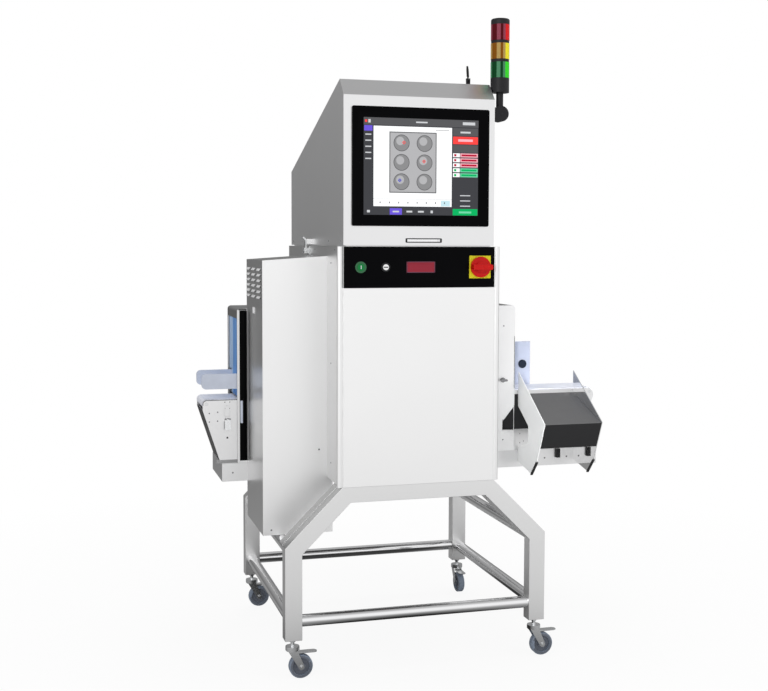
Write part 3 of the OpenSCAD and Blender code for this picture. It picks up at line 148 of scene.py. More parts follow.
def moulded(name, colour, rough, grit=420.0, bump=0.25, toneShare=0.88, shine=0.5):
    # paint, plastic or rubber with a fine texture
    material, shader = startMaterial(name, colour, rough, shine=shine)
    fine = grain(material, grit, mouldedLook["fineDetail"])
    slow = grain(material, mouldedLook["slowScale"], mouldedLook["slowDetail"])
    varyRoughness(material, shader, slow, rough, mouldedLook["roughShares"])
    varyColour(material, shader, slow, colour, toneShare)
    addRelief(material, shader, fine, bump, mouldedLook["depth"])
    return material


def glowing(name, colour, strength, rough=0.12):
    # a lit surface: the display's tones and the green cap
    material, shader = startMaterial(name, scaled(colour, glowLook["paintShare"]), rough,
                                     shine=glowLook["shine"])
    shader.inputs["Emission Color"].default_value = (*colour, 1)
    shader.inputs["Emission Strength"].default_value = strength
    fine = grain(material, glowLook["fineScale"], glowLook["fineDetail"])
    varyRoughness(material, shader, fine, rough, glowLook["roughShares"])
    return material


# colour, roughness, the axis that the lines run along (0 for x, 1 for y, 2 for z), and how metallic
brushedFinishes = {
    "sheetSteel": ((0.93, 0.93, 0.93), 0.40, 2),
    "frontSteel": ((0.96, 0.96, 0.96), 0.42, 2),
    "hoodSteel": ((0.86, 0.86, 0.865), 0.30, 1),
    "frameSteel": ((0.86, 0.86, 0.86), 0.34, 2),
    "channelSteel": ((0.84, 0.84, 0.845), 0.30, 0),
    "plateSteel": ((0.86, 0.86, 0.865), 0.32, 0),
    # painted shade: a darker copy of the steel for faces that look left
    "sideSteel": ((0.78, 0.78, 0.78), 0.30, 2),
    "panelSteel": ((0.99, 0.99, 0.99), 0.42, 2),
    "outfeedSteel": ((0.95, 0.95, 0.955), 0.42, 2, 0.8),
    # painted shade: a darker copy of the sheet steel for the cabinet's left side
    "leftSheet": ((0.71, 0.71, 0.71), 0.40, 2),
    # painted shade: a dark copy of the steel for the struts' slanted faces
    "strutShadeSteel": ((0.30, 0.30, 0.30), 0.30, 2),
    # painted shade: a dark copy of the steel for faces that look left or up
    "paintedShadeSteel": ((0.37, 0.37, 0.37), 0.34, 2),
    # painted light: a less metallic copy of the hood steel, so the hood's left side shows lighter
    "hoodSide": ((0.86, 0.86, 0.865), 0.34, 1, 0.9),
    # painted shade, lighter than on the outer faces: a copy of the frame steel for the inner leg faces
    "legInnerShade": ((0.78, 0.78, 0.78), 0.34, 2, 0.7),
    # painted light: a pale, mostly matt copy of the cheek steel, for the light the left cheek reflects
    "litCheekSteel": ((0.86, 0.87, 0.87), 0.5, 2, 0.15),
}
# colour and roughness
polishedFinishes = {
    "cheekSteel": ((0.95, 0.95, 0.95), 0.04),
    "railSteel": ((0.90, 0.90, 0.91), 0.05),
    "zinc": ((0.74, 0.75, 0.76), 0.18),
    "screwSteel": ((0.30, 0.30, 0.31), 0.3),
    "keySteel": ((0.95, 0.95, 0.95), 0.3),
}
mouldedFinishes = {
    # painted shade and painted reflection: a grey for the strip above the channel and the strip on the
    # enclosure's side edge
    "shadeAndReflectionGrey": dict(colour=(0.36, 0.36, 0.365), rough=0.4, bump=0.05),
    # painted highlight: white paint for the glints on the enclosure's louvres and hatch
    "louvreGlintWhite": dict(colour=(0.90, 0.90, 0.91), rough=0.35, bump=0.05, toneShare=0.97),
    "blackGlass": dict(colour=(0.002, 0.002, 0.0025), rough=0.22, bump=0.02, shine=0.03),
    "blackPaint": dict(colour=(0.012, 0.012, 0.014), rough=0.38, shine=0.25),
    "blackRubber": dict(colour=(0.012, 0.012, 0.012), rough=0.6, grit=700.0, shine=0.25),
    "slideGrey": dict(colour=(0.092, 0.092, 0.094), rough=0.45, grit=600.0, bump=0.3),
    "slideBlack": dict(colour=(0.014, 0.014, 0.015), rough=0.5, grit=600.0, bump=0.3, shine=0.2),
    "switchRed": dict(colour=(0.55, 0.003, 0.002), rough=0.3, shine=0.25),
    "switchYellow": dict(colour=(0.66, 0.60, 0.015), rough=0.4, shine=0.25),
    "ringGreen": dict(colour=(0.02, 0.14, 0.05), rough=0.2),
    "readoutRed": dict(colour=(0.33, 0.032, 0.052), rough=0.2, bump=0.02, shine=0.1),
    "readoutRim": dict(colour=(0.12, 0.065, 0.10), rough=0.3, bump=0.02, shine=0.1),
    "machineGrey": dict(colour=(0.30, 0.32, 0.34), rough=0.45),
    "detectorBlack": dict(colour=(0.03, 0.03, 0.033), rough=0.45),
    "beltWhite": dict(colour=(0.87, 0.89, 0.97), rough=0.5, grit=520.0, bump=0.4),
    "guideBlue": dict(colour=(0.67, 0.72, 0.84), rough=0.35),
    "pusherBlue": dict(colour=(0.52, 0.56, 0.68), rough=0.42),
    "discNavy": dict(colour=(0.012, 0.018, 0.032), rough=0.4, shine=0.25),
    "treadGrey": dict(colour=(0.22, 0.265, 0.34), rough=0.5, grit=500.0, bump=0.4),
    "hubGrey": dict(colour=(0.14, 0.155, 0.19), rough=0.45),
    "curtainBlue": dict(colour=(0.12, 0.33, 0.74), rough=0.48, grit=300.0, bump=0.3),
    # painted light: a paler copy of the curtain blue for the lit strips
    "curtainLitBlue": dict(colour=(0.40, 0.56, 0.80), rough=0.48, grit=300.0, bump=0.3),
}
finishes = {name: brushedSteel(name, *look) for name, look in brushedFinishes.items()}
finishes.update({name: polishedSteel(name, *look) for name, look in polishedFinishes.items()})
finishes.update({name: moulded(name, **look) for name, look in mouldedFinishes.items()})
finishes["capGreen"] = glowing("capGreen", (0.015, 0.24, 0.06), 0.5, 0.25)
print("finishes made:", len(finishes))

# the finish of each carried-over node, and how far its sharp edges are rounded, in millimetres
nodeFinish = {
    "front_frame": ("frameSteel", 1.2), "rear_frame": ("frameSteel", 1.2), "rails": ("railSteel", 0),
    "cabinet_shell": ("sheetSteel", 0.6), "front_panel": ("panelSteel", 0.8),
    "control_panel": ("blackGlass", 0.6), "side_enclosure": ("frontSteel", 1.0),
    "tunnel_duct": ("sheetSteel", 0), "generator": ("machineGrey", 3), "detector": ("detectorBlack", 2),
    "electrics": ("machineGrey", 2), "switch_bodies": ("railSteel", 0.6), "start_button": ("capGreen", 0.6),
    "key_switch": ("keySteel", 0.5), "number_display": ("readoutRed", 0.6),
    "switch_plate": ("switchYellow", 0.8), "main_switch_knob": ("switchRed", 1.2),
    "hood_shell": ("hoodSteel", 1.4), "monitor_body": ("blackGlass", 1.2),
    "monitor_screen": ("blackGlass", 0), "pull_handle": ("railSteel", 0.5), "hood_hardware": ("zinc", 0.4),
    "hood_latch_lever": ("zinc", 0.6), "tower_bracket": ("blackPaint", 0.8),
    "tower_body": ("blackPaint", 0.8), "antenna_whip": ("blackRubber", 0),
    "base_channel": ("channelSteel", 0.8), "conveyor_frame": ("plateSteel", 0.6), "belt": ("beltWhite", 0),
    "infeed_roller": ("zinc", 0), "outfeed_roller": ("zinc", 0), "drive_roller": ("blackRubber", 0),
    "gear_motor": ("machineGrey", 2), "guide_rails": ("guideBlue", 1),
    "infeed_housing": ("channelSteel", 0.8), "outfeed_housing": ("outfeedSteel", 0.6),
    "outfeed_door": ("outfeedSteel", 0.6), "door_knob": ("screwSteel", 0.6),
    "belt_latch_lever": ("zinc", 0.4), "pusher_box": ("pusherBlue", 1.5), "pusher_head": ("discNavy", 1),
    "chute_cheeks": ("cheekSteel", 0.5), "chute_slide": ("slideBlack", 0.8), "caster_stems": ("zinc", 0),
}
for corner in ("front_left", "front_right", "rear_left", "rear_right"):
    nodeFinish["caster_fork_" + corner] = ("zinc", 0.5)
    nodeFinish["brake_pedal_" + corner] = ("zinc", 0.5)

# millimetres and degrees; the shortest edge that is rounded is a share of its rounding
edgeWork = {"weld": 0.02, "flatAngle": 1.0, "sharpAngle": 32, "shortestShare": 1.2, "segments": 2,
            "profile": 0.5, "smoothAngle": 35}


def bodyOf(nodeName):
    for body, members in frame["record"]["behaviour"]["bodies"].items():
        if nodeName in members:
            return body
    return "root"


def dress(obj, material):
    if obj.data.materials:
        for i in range(len(obj.data.materials)):
            obj.data.materials[i] = material
    else:
        obj.data.materials.append(material)


def camelName(nodeName):
    words = nodeName.split("_")
    return words[0] + "".join(word.capitalize() for word in words[1:])


def evenNormals(obj):
    # keeps large flat faces flat in the shading, with only the rounded edges turning
    weighted = obj.modifiers.new("weightedNormals", "WEIGHTED_NORMAL")
    weighted.mode = "FACE_AREA"
    weighted.keep_sharp = True


def softenedCopy(nodeName, softness, material):
    # a copy of a CAD node with its flat faces joined and its sharp edges rounded
    bm = bmesh.new()
    bm.from_mesh(cad[nodeName].data)
    bmesh.ops.remove_doubles(bm, verts=bm.verts, dist=edgeWork["weld"] / 1000)
    bmesh.ops.dissolve_limit(bm, angle_limit=radians(edgeWork["flatAngle"]), verts=bm.verts, edges=bm.edges)
    sharp = [edge for edge in bm.edges if len(edge.link_faces) == 2
             and edge.calc_face_angle(0) > radians(edgeWork["sharpAngle"])
             and edge.calc_length() > edgeWork["shortestShare"] * softness / 1000]
    bmesh.ops.bevel(bm, geom=sharp, offset=softness / 1000, offset_type="OFFSET", affect="EDGES",
                    segments=edgeWork["segments"], profile=edgeWork["profile"], material=-1,
                    clamp_overlap=True)
    mesh = bpy.data.meshes.new(camelName(nodeName))
    bm.to_mesh(mesh)
    bm.free()
    for face in mesh.polygons:
        face.use_smooth = True
    obj = bpy.data.objects.new(camelName(nodeName), mesh)
    bpy.context.scene.collection.objects.link(obj)
    dress(obj, material)
    evenNormals(obj)
    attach(obj, bodyOf(nodeName))
    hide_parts(nodeName)
    return obj


softened = {}
for nodeName, (finish, softness) in nodeFinish.items():
    if softness:
        softened[nodeName] = softenedCopy(nodeName, softness, finishes[finish])
    else:
        dress(cad[nodeName], finishes[finish])
print("carried-over nodes dressed")

# second finishes and painted light and shade: a face takes one where its centre in millimetres (x, y, z) and
# its normal (nx, ny, nz) lie within the limits given, and a later row paints over an earlier one
leftward, frontward, rearward, upward = (-1.1, -0.5), (-1.1, -0.5), (0.5, 1.1), (0.5, 1.1)
slantedUp, straightLeft, notFrontward = (0.3, 1.1), (-1.1, -0.9), (-0.5, 1.1)
noLimit = 9999
secondFinishesAndPaintedLight = [
    # painted shade on the enclosure's left-looking faces
    ("side_enclosure", "sideSteel", {"nx": leftward}),
    ("side_enclosure", "paintedShadeSteel", {"nz": upward, "z": (1290, noLimit)}),   # its roof, in painted shade
    # painted shade on the outfeed housing's upward faces
    ("outfeed_housing", "paintedShadeSteel", {"nz": upward}),
    ("chute_cheeks", "litCheekSteel", {"x": (-noLimit, 600)}),   # the left cheek, painted lighter for the light it reflects
    ("side_enclosure", "louvreGlintWhite", {"x": (-noLimit, -469.4)}),   # the lips of the louvres, painted white as highlights
    # painted highlight: the hatch's recess painted white
    ("side_enclosure", "louvreGlintWhite", {"nx": leftward, "x": (-468.4, -466.6), "z": (1110, 1165)}),
    # painted shade on the front frame's left-looking faces
    ("front_frame", "sideSteel", {"nx": leftward}),
    # painted shade, lighter: the front frame's inner leg faces that look left
    ("front_frame", "legInnerShade", {"nx": leftward, "x": (0, noLimit)}),
    # painted shade on the rear frame's left-looking faces
    ("rear_frame", "sideSteel", {"nx": leftward}),
    # painted shade, lighter: the rear frame's inner leg faces that look left
    ("rear_frame", "legInnerShade", {"nx": leftward, "x": (0, noLimit)}),
    # painted shade on the front struts' up-left faces
    ("front_frame", "strutShadeSteel", {"nx": leftward, "nz": slantedUp}),
    # painted shade on the cabinet's left-looking faces
    ("cabinet_shell", "leftSheet", {"nx": straightLeft}),
    # painted shade on the infeed housing's left- and upward-looking faces
    ("infeed_housing", "paintedShadeSteel", {"nx": leftward}),
    ("infeed_housing", "paintedShadeSteel", {"nz": upward}),
    # painted light on the hood's left-looking faces
    ("hood_shell", "hoodSide", {"nx": leftward}),
    # painted shade: the latch lever's faces that don't look to the front take a dark steel
    ("belt_latch_lever", "screwSteel", {"ny": notFrontward}),
    # painted light: the slide's upward faces a lighter grey than its black front
    ("chute_slide", "slideGrey", {"nz": slantedUp}),
    ("switch_bodies", "ringGreen", {"x": (-noLimit, -160)}),   # the start button's ring
    ("switch_bodies", "blackPaint", {"x": (-160, noLimit)}),
    ("hood_shell", "blackPaint", {"x": (160, 196), "z": (1871, noLimit)}),   # the antenna's foot
    # painted shade in the handle's recess: its front- and back-looking faces in front of y -400 mm are black
    ("pull_handle", "blackPaint", {"ny": frontward, "y": (-noLimit, -400)}),
    ("pull_handle", "blackPaint", {"ny": rearward, "y": (-noLimit, -400)}),
]
for nodeName, finish, limits in secondFinishesAndPaintedLight:
    mesh = softened[nodeName].data
    mesh.materials.append(finishes[finish])
    for face in mesh.polygons:
        found = dict(zip(("x", "y", "z", "nx", "ny", "nz"), (*(face.center * 1000), *face.normal)))
        if all(low < found[key] < high for key, (low, high) in limits.items()):
            face.material_index = len(mesh.materials) - 1
print("second finishes painted")


# helpers for new pieces; lengths are given in millimetres and become metres here
def addBox(bm, low, high, slotIndex=0, rounding=0.0):
    made = bmesh.ops.create_cube(bm, size=1.0)["verts"]
    size = [(b - a) / 1000 for a, b in zip(low, high)]
    middle = [(a + b) / 2000 for a, b in zip(low, high)]
    bmesh.ops.scale(bm, vec=size, verts=made)
    bmesh.ops.translate(bm, vec=middle, verts=made)
    for face in {face for vert in made for face in vert.link_faces}:
        face.material_index = slotIndex
    if rounding:
        edges = list({edge for vert in made for edge in vert.link_edges})
        bmesh.ops.bevel(bm, geom=edges, offset=rounding / 1000, offset_type="OFFSET", affect="EDGES",
                        segments=edgeWork["segments"], profile=edgeWork["profile"], material=-1,
                        clamp_overlap=True)


def addRod(bm, start, end, radius, sides, endRadius=None, slotIndex=0):
    # a rod between two points, or a taper where the end has a radius of its own
    a, b = Vector(start) / 1000, Vector(end) / 1000
    turn = (b - a).to_track_quat("Z", "Y").to_matrix().to_4x4()
    made = bmesh.ops.create_cone(bm, cap_ends=True, segments=sides, radius1=radius / 1000,
                                 radius2=(radius if endRadius is None else endRadius) / 1000,
                                 depth=(b - a).length, matrix=Matrix.Translation((a + b) / 2) @ turn)["verts"]
    for face in {face for vert in made for face in vert.link_faces}:
        face.material_index = slotIndex


def addOutline(bm, points):
    # a closed loop of vertices and edges through the points
    verts = [bm.verts.new(Vector(point) / 1000) for point in points]
    edges = [bm.edges.new((verts[k - 1], vert)) for k, vert in enumerate(verts)]
    return verts, edges


def pushFaces(bm, faces, push):
    # flat faces pushed along one direction into a closed plate
    grown = bmesh.ops.extrude_face_region(bm, geom=faces, use_keep_orig=True)
    moved = [item for item in grown["geom"] if isinstance(item, bmesh.types.BMVert)]
    bmesh.ops.translate(bm, vec=Vector(push) / 1000, verts=moved)


def spinOutline(bm, points, centre, axis, steps, sweep=360):
    # a closed outline turned about an axis: the whole way round, or part of it with closed ends
    verts, edges = addOutline(bm, points)
    ends = [] if sweep == 360 else [bm.faces.new(verts)]
    bmesh.ops.spin(bm, geom=verts + edges + ends, cent=Vector(centre) / 1000, axis=axis,
                   angle=radians(sweep), steps=steps, use_merge=sweep == 360)


def makePiece(bm, name, materials, body, replaced=()):
    bmesh.ops.recalc_face_normals(bm, faces=bm.faces)
    mesh = bpy.data.meshes.new(name)
    bm.to_mesh(mesh)
    bm.free()
    for face in mesh.polygons:
        face.use_smooth = True
    mesh.set_sharp_from_angle(angle=radians(edgeWork["smoothAngle"]))
    obj = bpy.data.objects.new(name, mesh)
    bpy.context.scene.collection.objects.link(obj)
    for material in materials:
        mesh.materials.append(material)
    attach(obj, body)
    if replaced:
        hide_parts(*replaced)
    return obj


def boxPiece(name, place, finish, body):
    # a piece that is one rounded box
    bm = bmesh.new()
    addBox(bm, place["low"], place["high"], rounding=place["rounding"])
    makePiece(bm, name, [finishes[finish]], body)


# display: a generic inspection screen, built of thin tiles over the panel
screen = {"left": -185, "right": 191, "low": 1449, "high": 1749, "plane": -406.5, "layer": 0.12, "glow": 0.9}
screenTones = {
    "back": (0.045, 0.046, 0.052), "bar": (0.085, 0.085, 0.09), "white": (0.92, 0.93, 0.94),
    "violet": (0.135, 0.085, 0.62), "red": (0.93, 0.055, 0.05), "crimson": (0.42, 0.008, 0.035),
    "pink": (0.86, 0.42, 0.48), "green": (0.0, 0.40, 0.105), "mint": (0.15, 0.60, 0.36),
    "sky": (0.50, 0.70, 0.76), "text": (0.55, 0.56, 0.58), "trayPale": (0.40, 0.40, 0.41),
    "trayMid": (0.23, 0.23, 0.235), "trayDark": (0.10, 0.10, 0.105), "blue": (0.02, 0.025, 0.62),
}
toneNames = list(screenTones)
toneMaterials = [glowing("screen" + name[0].upper() + name[1:], tone, screen["glow"])
                 for name, tone in screenTones.items()]
screenTiles = [   # left, right, low and high as shares of the display, the layer, and the tone
    (0.0, 1.0, 0.0, 1.0, 1, "back"), (0.0, 1.0, 0.925, 1.0, 2, "bar"),
    (0.085, 0.765, 0.09, 0.915, 2, "white"), (0.67, 0.75, 0.095, 0.155, 3, "sky"),
    (0.775, 0.995, 0.835, 0.915, 2, "bar"), (0.775, 0.995, 0.748, 0.826, 3, "red"),
    (0.775, 0.995, 0.66, 0.74, 2, "bar"), (0.775, 0.995, 0.002, 0.07, 3, "green"),
    (0.005, 0.075, 0.862, 0.918, 3, "violet"), (0.225, 0.33, 0.004, 0.07, 3, "violet"),
    (0.012, 0.03, 0.95, 0.975, 3, "red"), (0.04, 0.06, 0.945, 0.98, 3, "text"),
    (0.45, 0.55, 0.955, 0.97, 3, "text"), (0.86, 0.97, 0.948, 0.978, 3, "text"),
    (0.84, 0.93, 0.862, 0.88, 3, "text"), (0.82, 0.95, 0.775, 0.8, 4, "pink"),
    (0.83, 0.94, 0.024, 0.044, 4, "mint"), (0.25, 0.305, 0.028, 0.044, 4, "text"),
    (0.03, 0.055, 0.025, 0.05, 3, "text"), (0.37, 0.42, 0.028, 0.046, 3, "text"),
    (0.47, 0.52, 0.028, 0.046, 3, "text"), (0.58, 0.60, 0.022, 0.05, 3, "text"),
    (0.62, 0.74, 0.882, 0.89, 3, "trayPale"), (0.085, 0.765, 0.165, 0.168, 3, "trayPale"),
]


def tileRow(count, left, right, low, high, layer, tone, across=0.0, up=0.0):
    # the same tile again and again, each a step across or up from the last
    return [(left + k * across, right + k * across, low + k * up, high + k * up, layer, tone)
            for k in range(count)]


readings = {"pitch": -0.052, "high": 0.04,
            "groups": ((3, 0.612, "crimson", "pink"), (2, 0.456, "green", "mint"))}
for count, low, deep, pale in readings["groups"]:
    high, step = low + readings["high"], readings["pitch"]
    screenTiles += tileRow(count, 0.775, 0.835, low, high, 3, "white", up=step)
    screenTiles += tileRow(count, 0.785, 0.805, low + 0.008, high - 0.008, 4, deep, up=step)
    screenTiles += tileRow(count, 0.84, 0.995, low, high, 3, pale, up=step)
    screenTiles += tileRow(count, 0.85, 0.985, low + 0.01, high - 0.01, 4, deep, up=step)
screenTiles += tileRow(3, 0.84, 0.93, 0.095, 0.105, 3, "text", up=0.055)
screenTiles += tileRow(5, 0.015, 0.065, 0.82, 0.832, 3, "text", up=-0.062)
screenTiles += tileRow(8, 0.138, 0.146, 0.12, 0.138, 4, "trayDark", across=0.08)
# the x-ray picture: a tray with six round cakes, three of them marked; places are shares of the display
tray = {"left": 0.22, "right": 0.63, "low": 0.23, "high": 0.86, "rim": 3, "rounding": 0.05, "columns": 2,
        "rows": 3, "firstAcross": 0.325, "firstUp": 0.345, "pitch": 0.2, "cake": 26, "top": 24, "shine": 13,
        "shineAcross": -0.012, "shineUp": 0.02, "cakeSides": 32, "mark": 6, "markHole": 3.6, "markSides": 4,
        "marks": ((0.345, 0.75, "red"), (0.52, 0.56, "red"), (0.31, 0.36, "blue"))}


def screenSpot(u, v, layer):
    return (screen["left"] + u * (screen["right"] - screen["left"]),
            screen["plane"] - layer * screen["layer"],
            screen["low"] + v * (screen["high"] - screen["low"]))


def screenDisc(bm, u, v, radius, layer, tone, sides):
    x, y, z = screenSpot(u, v, layer)
    addRod(bm, (x, y + screen["layer"], z), (x, y, z), radius, sides, slotIndex=toneNames.index(tone))


bm = bmesh.new()
for left, right, low, high, layer, tone in screenTiles:
    x0, y, z0 = screenSpot(left, low, layer)
    x1, _, z1 = screenSpot(right, high, layer)
    addBox(bm, (x0, y, z0), (x1, y + screen["layer"], z1), toneNames.index(tone))
x0, y, z0 = screenSpot(tray["left"], tray["low"], 3)
x1, _, z1 = screenSpot(tray["right"], tray["high"], 3)
addBox(bm, (x0, y, z0), (x1, y + screen["layer"], z1), toneNames.index("trayDark"), tray["rounding"])
addBox(bm, (x0 + tray["rim"], y - screen["layer"], z0 + tray["rim"]), (x1 - tray["rim"], y, z1 - tray["rim"]),
       toneNames.index("trayPale"), tray["rounding"])
for column in range(tray["columns"]):
    for row in range(tray["rows"]):
        u, v = tray["firstAcross"] + column * tray["pitch"], tray["firstUp"] + row * tray["pitch"]
        screenDisc(bm, u, v, tray["cake"], 5, "trayDark", tray["cakeSides"])
        screenDisc(bm, u, v, tray["top"], 6, "trayMid", tray["cakeSides"])
        screenDisc(bm, u + tray["shineAcross"], v + tray["shineUp"], tray["shine"], 7, "trayPale",
                   tray["cakeSides"])
for u, v, tone in tray["marks"]:
    screenDisc(bm, u, v, tray["mark"], 8, tone, tray["markSides"])
    screenDisc(bm, u, v, tray["markHole"], 9, "trayMid", tray["markSides"])
makePiece(bm, "screenPicture", toneMaterials, "hood")
print("display drawn")

# controls: a light mark on the green cap, the slot of the key switch as a black box, painted shade for the
# keyhole, and the rim round the readout
startMark = {"low": (-195.4, -417.2, 1281), "high": (-193.4, -415.3, 1292), "rounding": 0.3}
boxPiece("startMark", startMark, "beltWhite", "start_button")
keySlot = {"low": (-121.4, -414.6, 1285.4), "high": (-106.4, -413.4, 1287.6), "rounding": 0.2}
boxPiece("keySlot", keySlot, "blackPaint", "key_switch")
readoutRim = {"left": -46, "right": 47.4, "low": 1269, "high": 1304, "band": 2.4, "face": -412.6,
              "seat": -411.6, "rounding": 0.2}
left, right, low, high = (readoutRim[key] for key in ("left", "right", "low", "high"))
band = readoutRim["band"]
bm = bmesh.new()
for x0, x1, z0, z1 in ((left, right, low, low + band), (left, right, high - band, high),
                       (left, left + band, low, high), (right - band, right, low, high)):
    addBox(bm, (x0, readoutRim["face"], z0), (x1, readoutRim["seat"], z1), 0, readoutRim["rounding"])
makePiece(bm, "readoutRim", [finishes["readoutRim"]], "root")

# painted shade: a black rim with round ends about the hood's pull handle, for the shade round its recess; x
# and z are the handle's middle in millimetres
low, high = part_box("pull_handle")
handleRim = {"x": (low[0] + high[0]) * 500, "z": (low[2] + high[2]) * 500, "halfWide": 60.0, "halfHigh": 7.0,
             "band": 3.2, "face": low[1] * 1000 - 0.4, "seat": low[1] * 1000 + 0.1, "facets": 10}


def handleOutline(inset):
    radius = handleRim["halfHigh"] - inset
    points = []
    for side in (1, -1):
        middle = handleRim["x"] + side * (handleRim["halfWide"] - handleRim["halfHigh"])
        for k in range(handleRim["facets"] + 1):
            angle = pi * k / handleRim["facets"] - side * pi / 2
            points.append((middle + radius * cos(angle), handleRim["face"],
                           handleRim["z"] + radius * sin(angle)))
    return points


bm = bmesh.new()
_, outerEdges = addOutline(bm, handleOutline(0.0))
_, innerEdges = addOutline(bm, handleOutline(handleRim["band"]))
rim = bmesh.ops.bridge_loops(bm, edges=outerEdges + innerEdges)["faces"]
pushFaces(bm, rim, (0, handleRim["seat"] - handleRim["face"], 0))
makePiece(bm, "handleRim", [finishes["blackPaint"]], "hood")
print("controls dressed")

# screws: a low domed head with a socket, on flat faces, the socket a black disc as painted shade for its
# recess; heights and radii are shares of the head's radius
screwHead = {"side": 0.28, "dome": 0.42, "shoulder": 0.92, "crown": 0.6, "socketFoot": 0.40,
             "socketTop": 0.44, "socket": 0.42, "sides": 16, "socketSides": 6}
screwRows = {   # body, the way the heads look, their radius, and their places
    "cabinetScrews": ("root", (-1, 0, 0), 3.0, [(-257, y, z) for y in (-388, -275) for z in (1298, 976, 654)]
                      + [(-257, y, 1340) for y in (-40, -329)]),
    "cabinetScrewsRight": ("root", (1, 0, 0), 3.0,
                           [(257, y, z) for y in (-388, 380) for z in (1298, 976, 654)]),
    "enclosureScrews": ("root", (0, -1, 0), 3.0, [(-441.7, -219, 432), (-283.7, -219, 689.1)]),
    "plateScrews": ("root", (0, -1, 0), 2.6, [(-599, 97, 774.5), (-570.4, 97, 777.7), (-599.4, 97, 744.7),
                                              (-570.8, 97, 746.9)]),
    "channelScrews": ("root", (0, -1, 0), 3.2, [(647, 91, 564), (735, 91, 565.5), (781.5, 91, 564),
                                                (300, 91, 566), (-520, 91, 566)]),
    "doorScrews": ("outfeed_door", (0, -1, 0), 2.6, [(478, 87.7, 640), (478, 87.7, 712), (478, 87.7, 1060),
                                                     (302, 87.7, 640), (302, 87.7, 1060)]),
    "hoodScrews": ("hood", (-1, 0, 0), 2.8, [(-247.5, y, 1368) for y in (-370, -200, 200, 370)]),
    "rearScrews": ("root", (0, 1, 0), 3.0,
                   [(x, 411, z) for x in (-236, 236) for z in (625, 860, 1095, 1325)]),
    "cheekScrews": ("root", (-1, 0, 0), 2.8, [(540, 74, 662), (540, 40, 640), (540, 74, 628)]),
}


def addScrew(bm, spot, facing, radius):
    foot, out = Vector(spot), Vector(facing) * radius
    side, dome = foot + out * screwHead["side"], foot + out * screwHead["dome"]
    shoulder, crown = radius * screwHead["shoulder"], radius * screwHead["crown"]
    addRod(bm, foot, side, radius, screwHead["sides"], shoulder)
    addRod(bm, side, dome, shoulder, screwHead["sides"], crown)
    addRod(bm, foot + out * screwHead["socketFoot"], foot + out * screwHead["socketTop"],
           radius * screwHead["socket"], screwHead["socketSides"], slotIndex=1)


for name, (body, facing, radius, spots) in screwRows.items():
    bm = bmesh.new()
    for spot in spots:
        addScrew(bm, spot, facing, radius)
    makePiece(bm, name, [finishes["screwSteel"], finishes["blackPaint"]], body)
print("screws set")

# infeed end: a black plate on the tunnel hood's front, painted shade for the shaded gap there, with its dark
# rim strip and a pale blue strip, and a pale strip on the enclosure's side edge, a painted reflection of the
# housing's front
infeedShadeAndReflectionTrim = {"left": -494.5, "right": -469.6, "low": 607, "high": 1128, "face": 90.5, "seat": 90.95,
              "rimLeft": -498, "rimLow": 1128.5, "rimHigh": 1134.4, "lampLeft": -492.5, "lampRight": -484,
              "lampLow": 738, "lampHigh": 816, "blueStripFace": 90.25, "rounding": 0.1,
              "reflectionLow": (-469.3, 60, 612), "edgeHigh": (-469.05, 91, 1128), "reflectionRounding": 0.05}
bm = bmesh.new()
for left, right, low, high, face, seat, slotIndex in (
        ("left", "right", "low", "high", "face", "seat", 0),
        ("rimLeft", "right", "rimLow", "rimHigh", "face", "seat", 2),
        ("lampLeft", "lampRight", "lampLow", "lampHigh", "blueStripFace", "face", 1)):
    addBox(bm, (infeedShadeAndReflectionTrim[left], infeedShadeAndReflectionTrim[face], infeedShadeAndReflectionTrim[low]),
           (infeedShadeAndReflectionTrim[right], infeedShadeAndReflectionTrim[seat], infeedShadeAndReflectionTrim[high]), slotIndex, infeedShadeAndReflectionTrim["rounding"])
addBox(bm, infeedShadeAndReflectionTrim["reflectionLow"], infeedShadeAndReflectionTrim["edgeHigh"], 3, infeedShadeAndReflectionTrim["reflectionRounding"])
makePiece(bm, "infeedPlate",
          [finishes["blackGlass"], finishes["guideBlue"], finishes["slideGrey"], finishes["shadeAndReflectionGrey"]],
          "root")

# painted shade: a black strip for the shadow in the joint between the belt and the side plate, round the
# nose, and a grey strip for the shade above the channel
plateJoint = {"noseX": -608.5, "noseZ": 806.5, "radius": 13.1, "sweep": 110, "facets": 12,
              "top": 820.0, "end": -501, "face": 96.5, "seat": 97.05, "wide": 1.8, "start": -608.4,
              "channelStart": -575, "channelLow": 599, "channelHigh": 611, "rounding": 0.1}
outer = plateJoint["noseZ"] + plateJoint["radius"]
inner = outer - plateJoint["wide"]
section = [(plateJoint["noseX"], plateJoint[side], z)
           for side, z in (("face", outer), ("seat", outer), ("seat", inner), ("face", inner))]
bm = bmesh.new()
spinOutline(bm, section, (plateJoint["noseX"], 0, plateJoint["noseZ"]), (0, -1, 0), plateJoint["facets"],
            plateJoint["sweep"])
addBox(bm, (plateJoint["start"], plateJoint["face"], plateJoint["top"] - plateJoint["wide"]),
       (plateJoint["end"], plateJoint["seat"], plateJoint["top"]), 0, plateJoint["rounding"])
addBox(bm, (plateJoint["channelStart"], plateJoint["face"], plateJoint["channelLow"]),
       (plateJoint["end"], plateJoint["seat"], plateJoint["channelHigh"]), 1, plateJoint["rounding"])
makePiece(bm, "plateJoint", [finishes["blackPaint"], finishes["shadeAndReflectionGrey"]], "root")

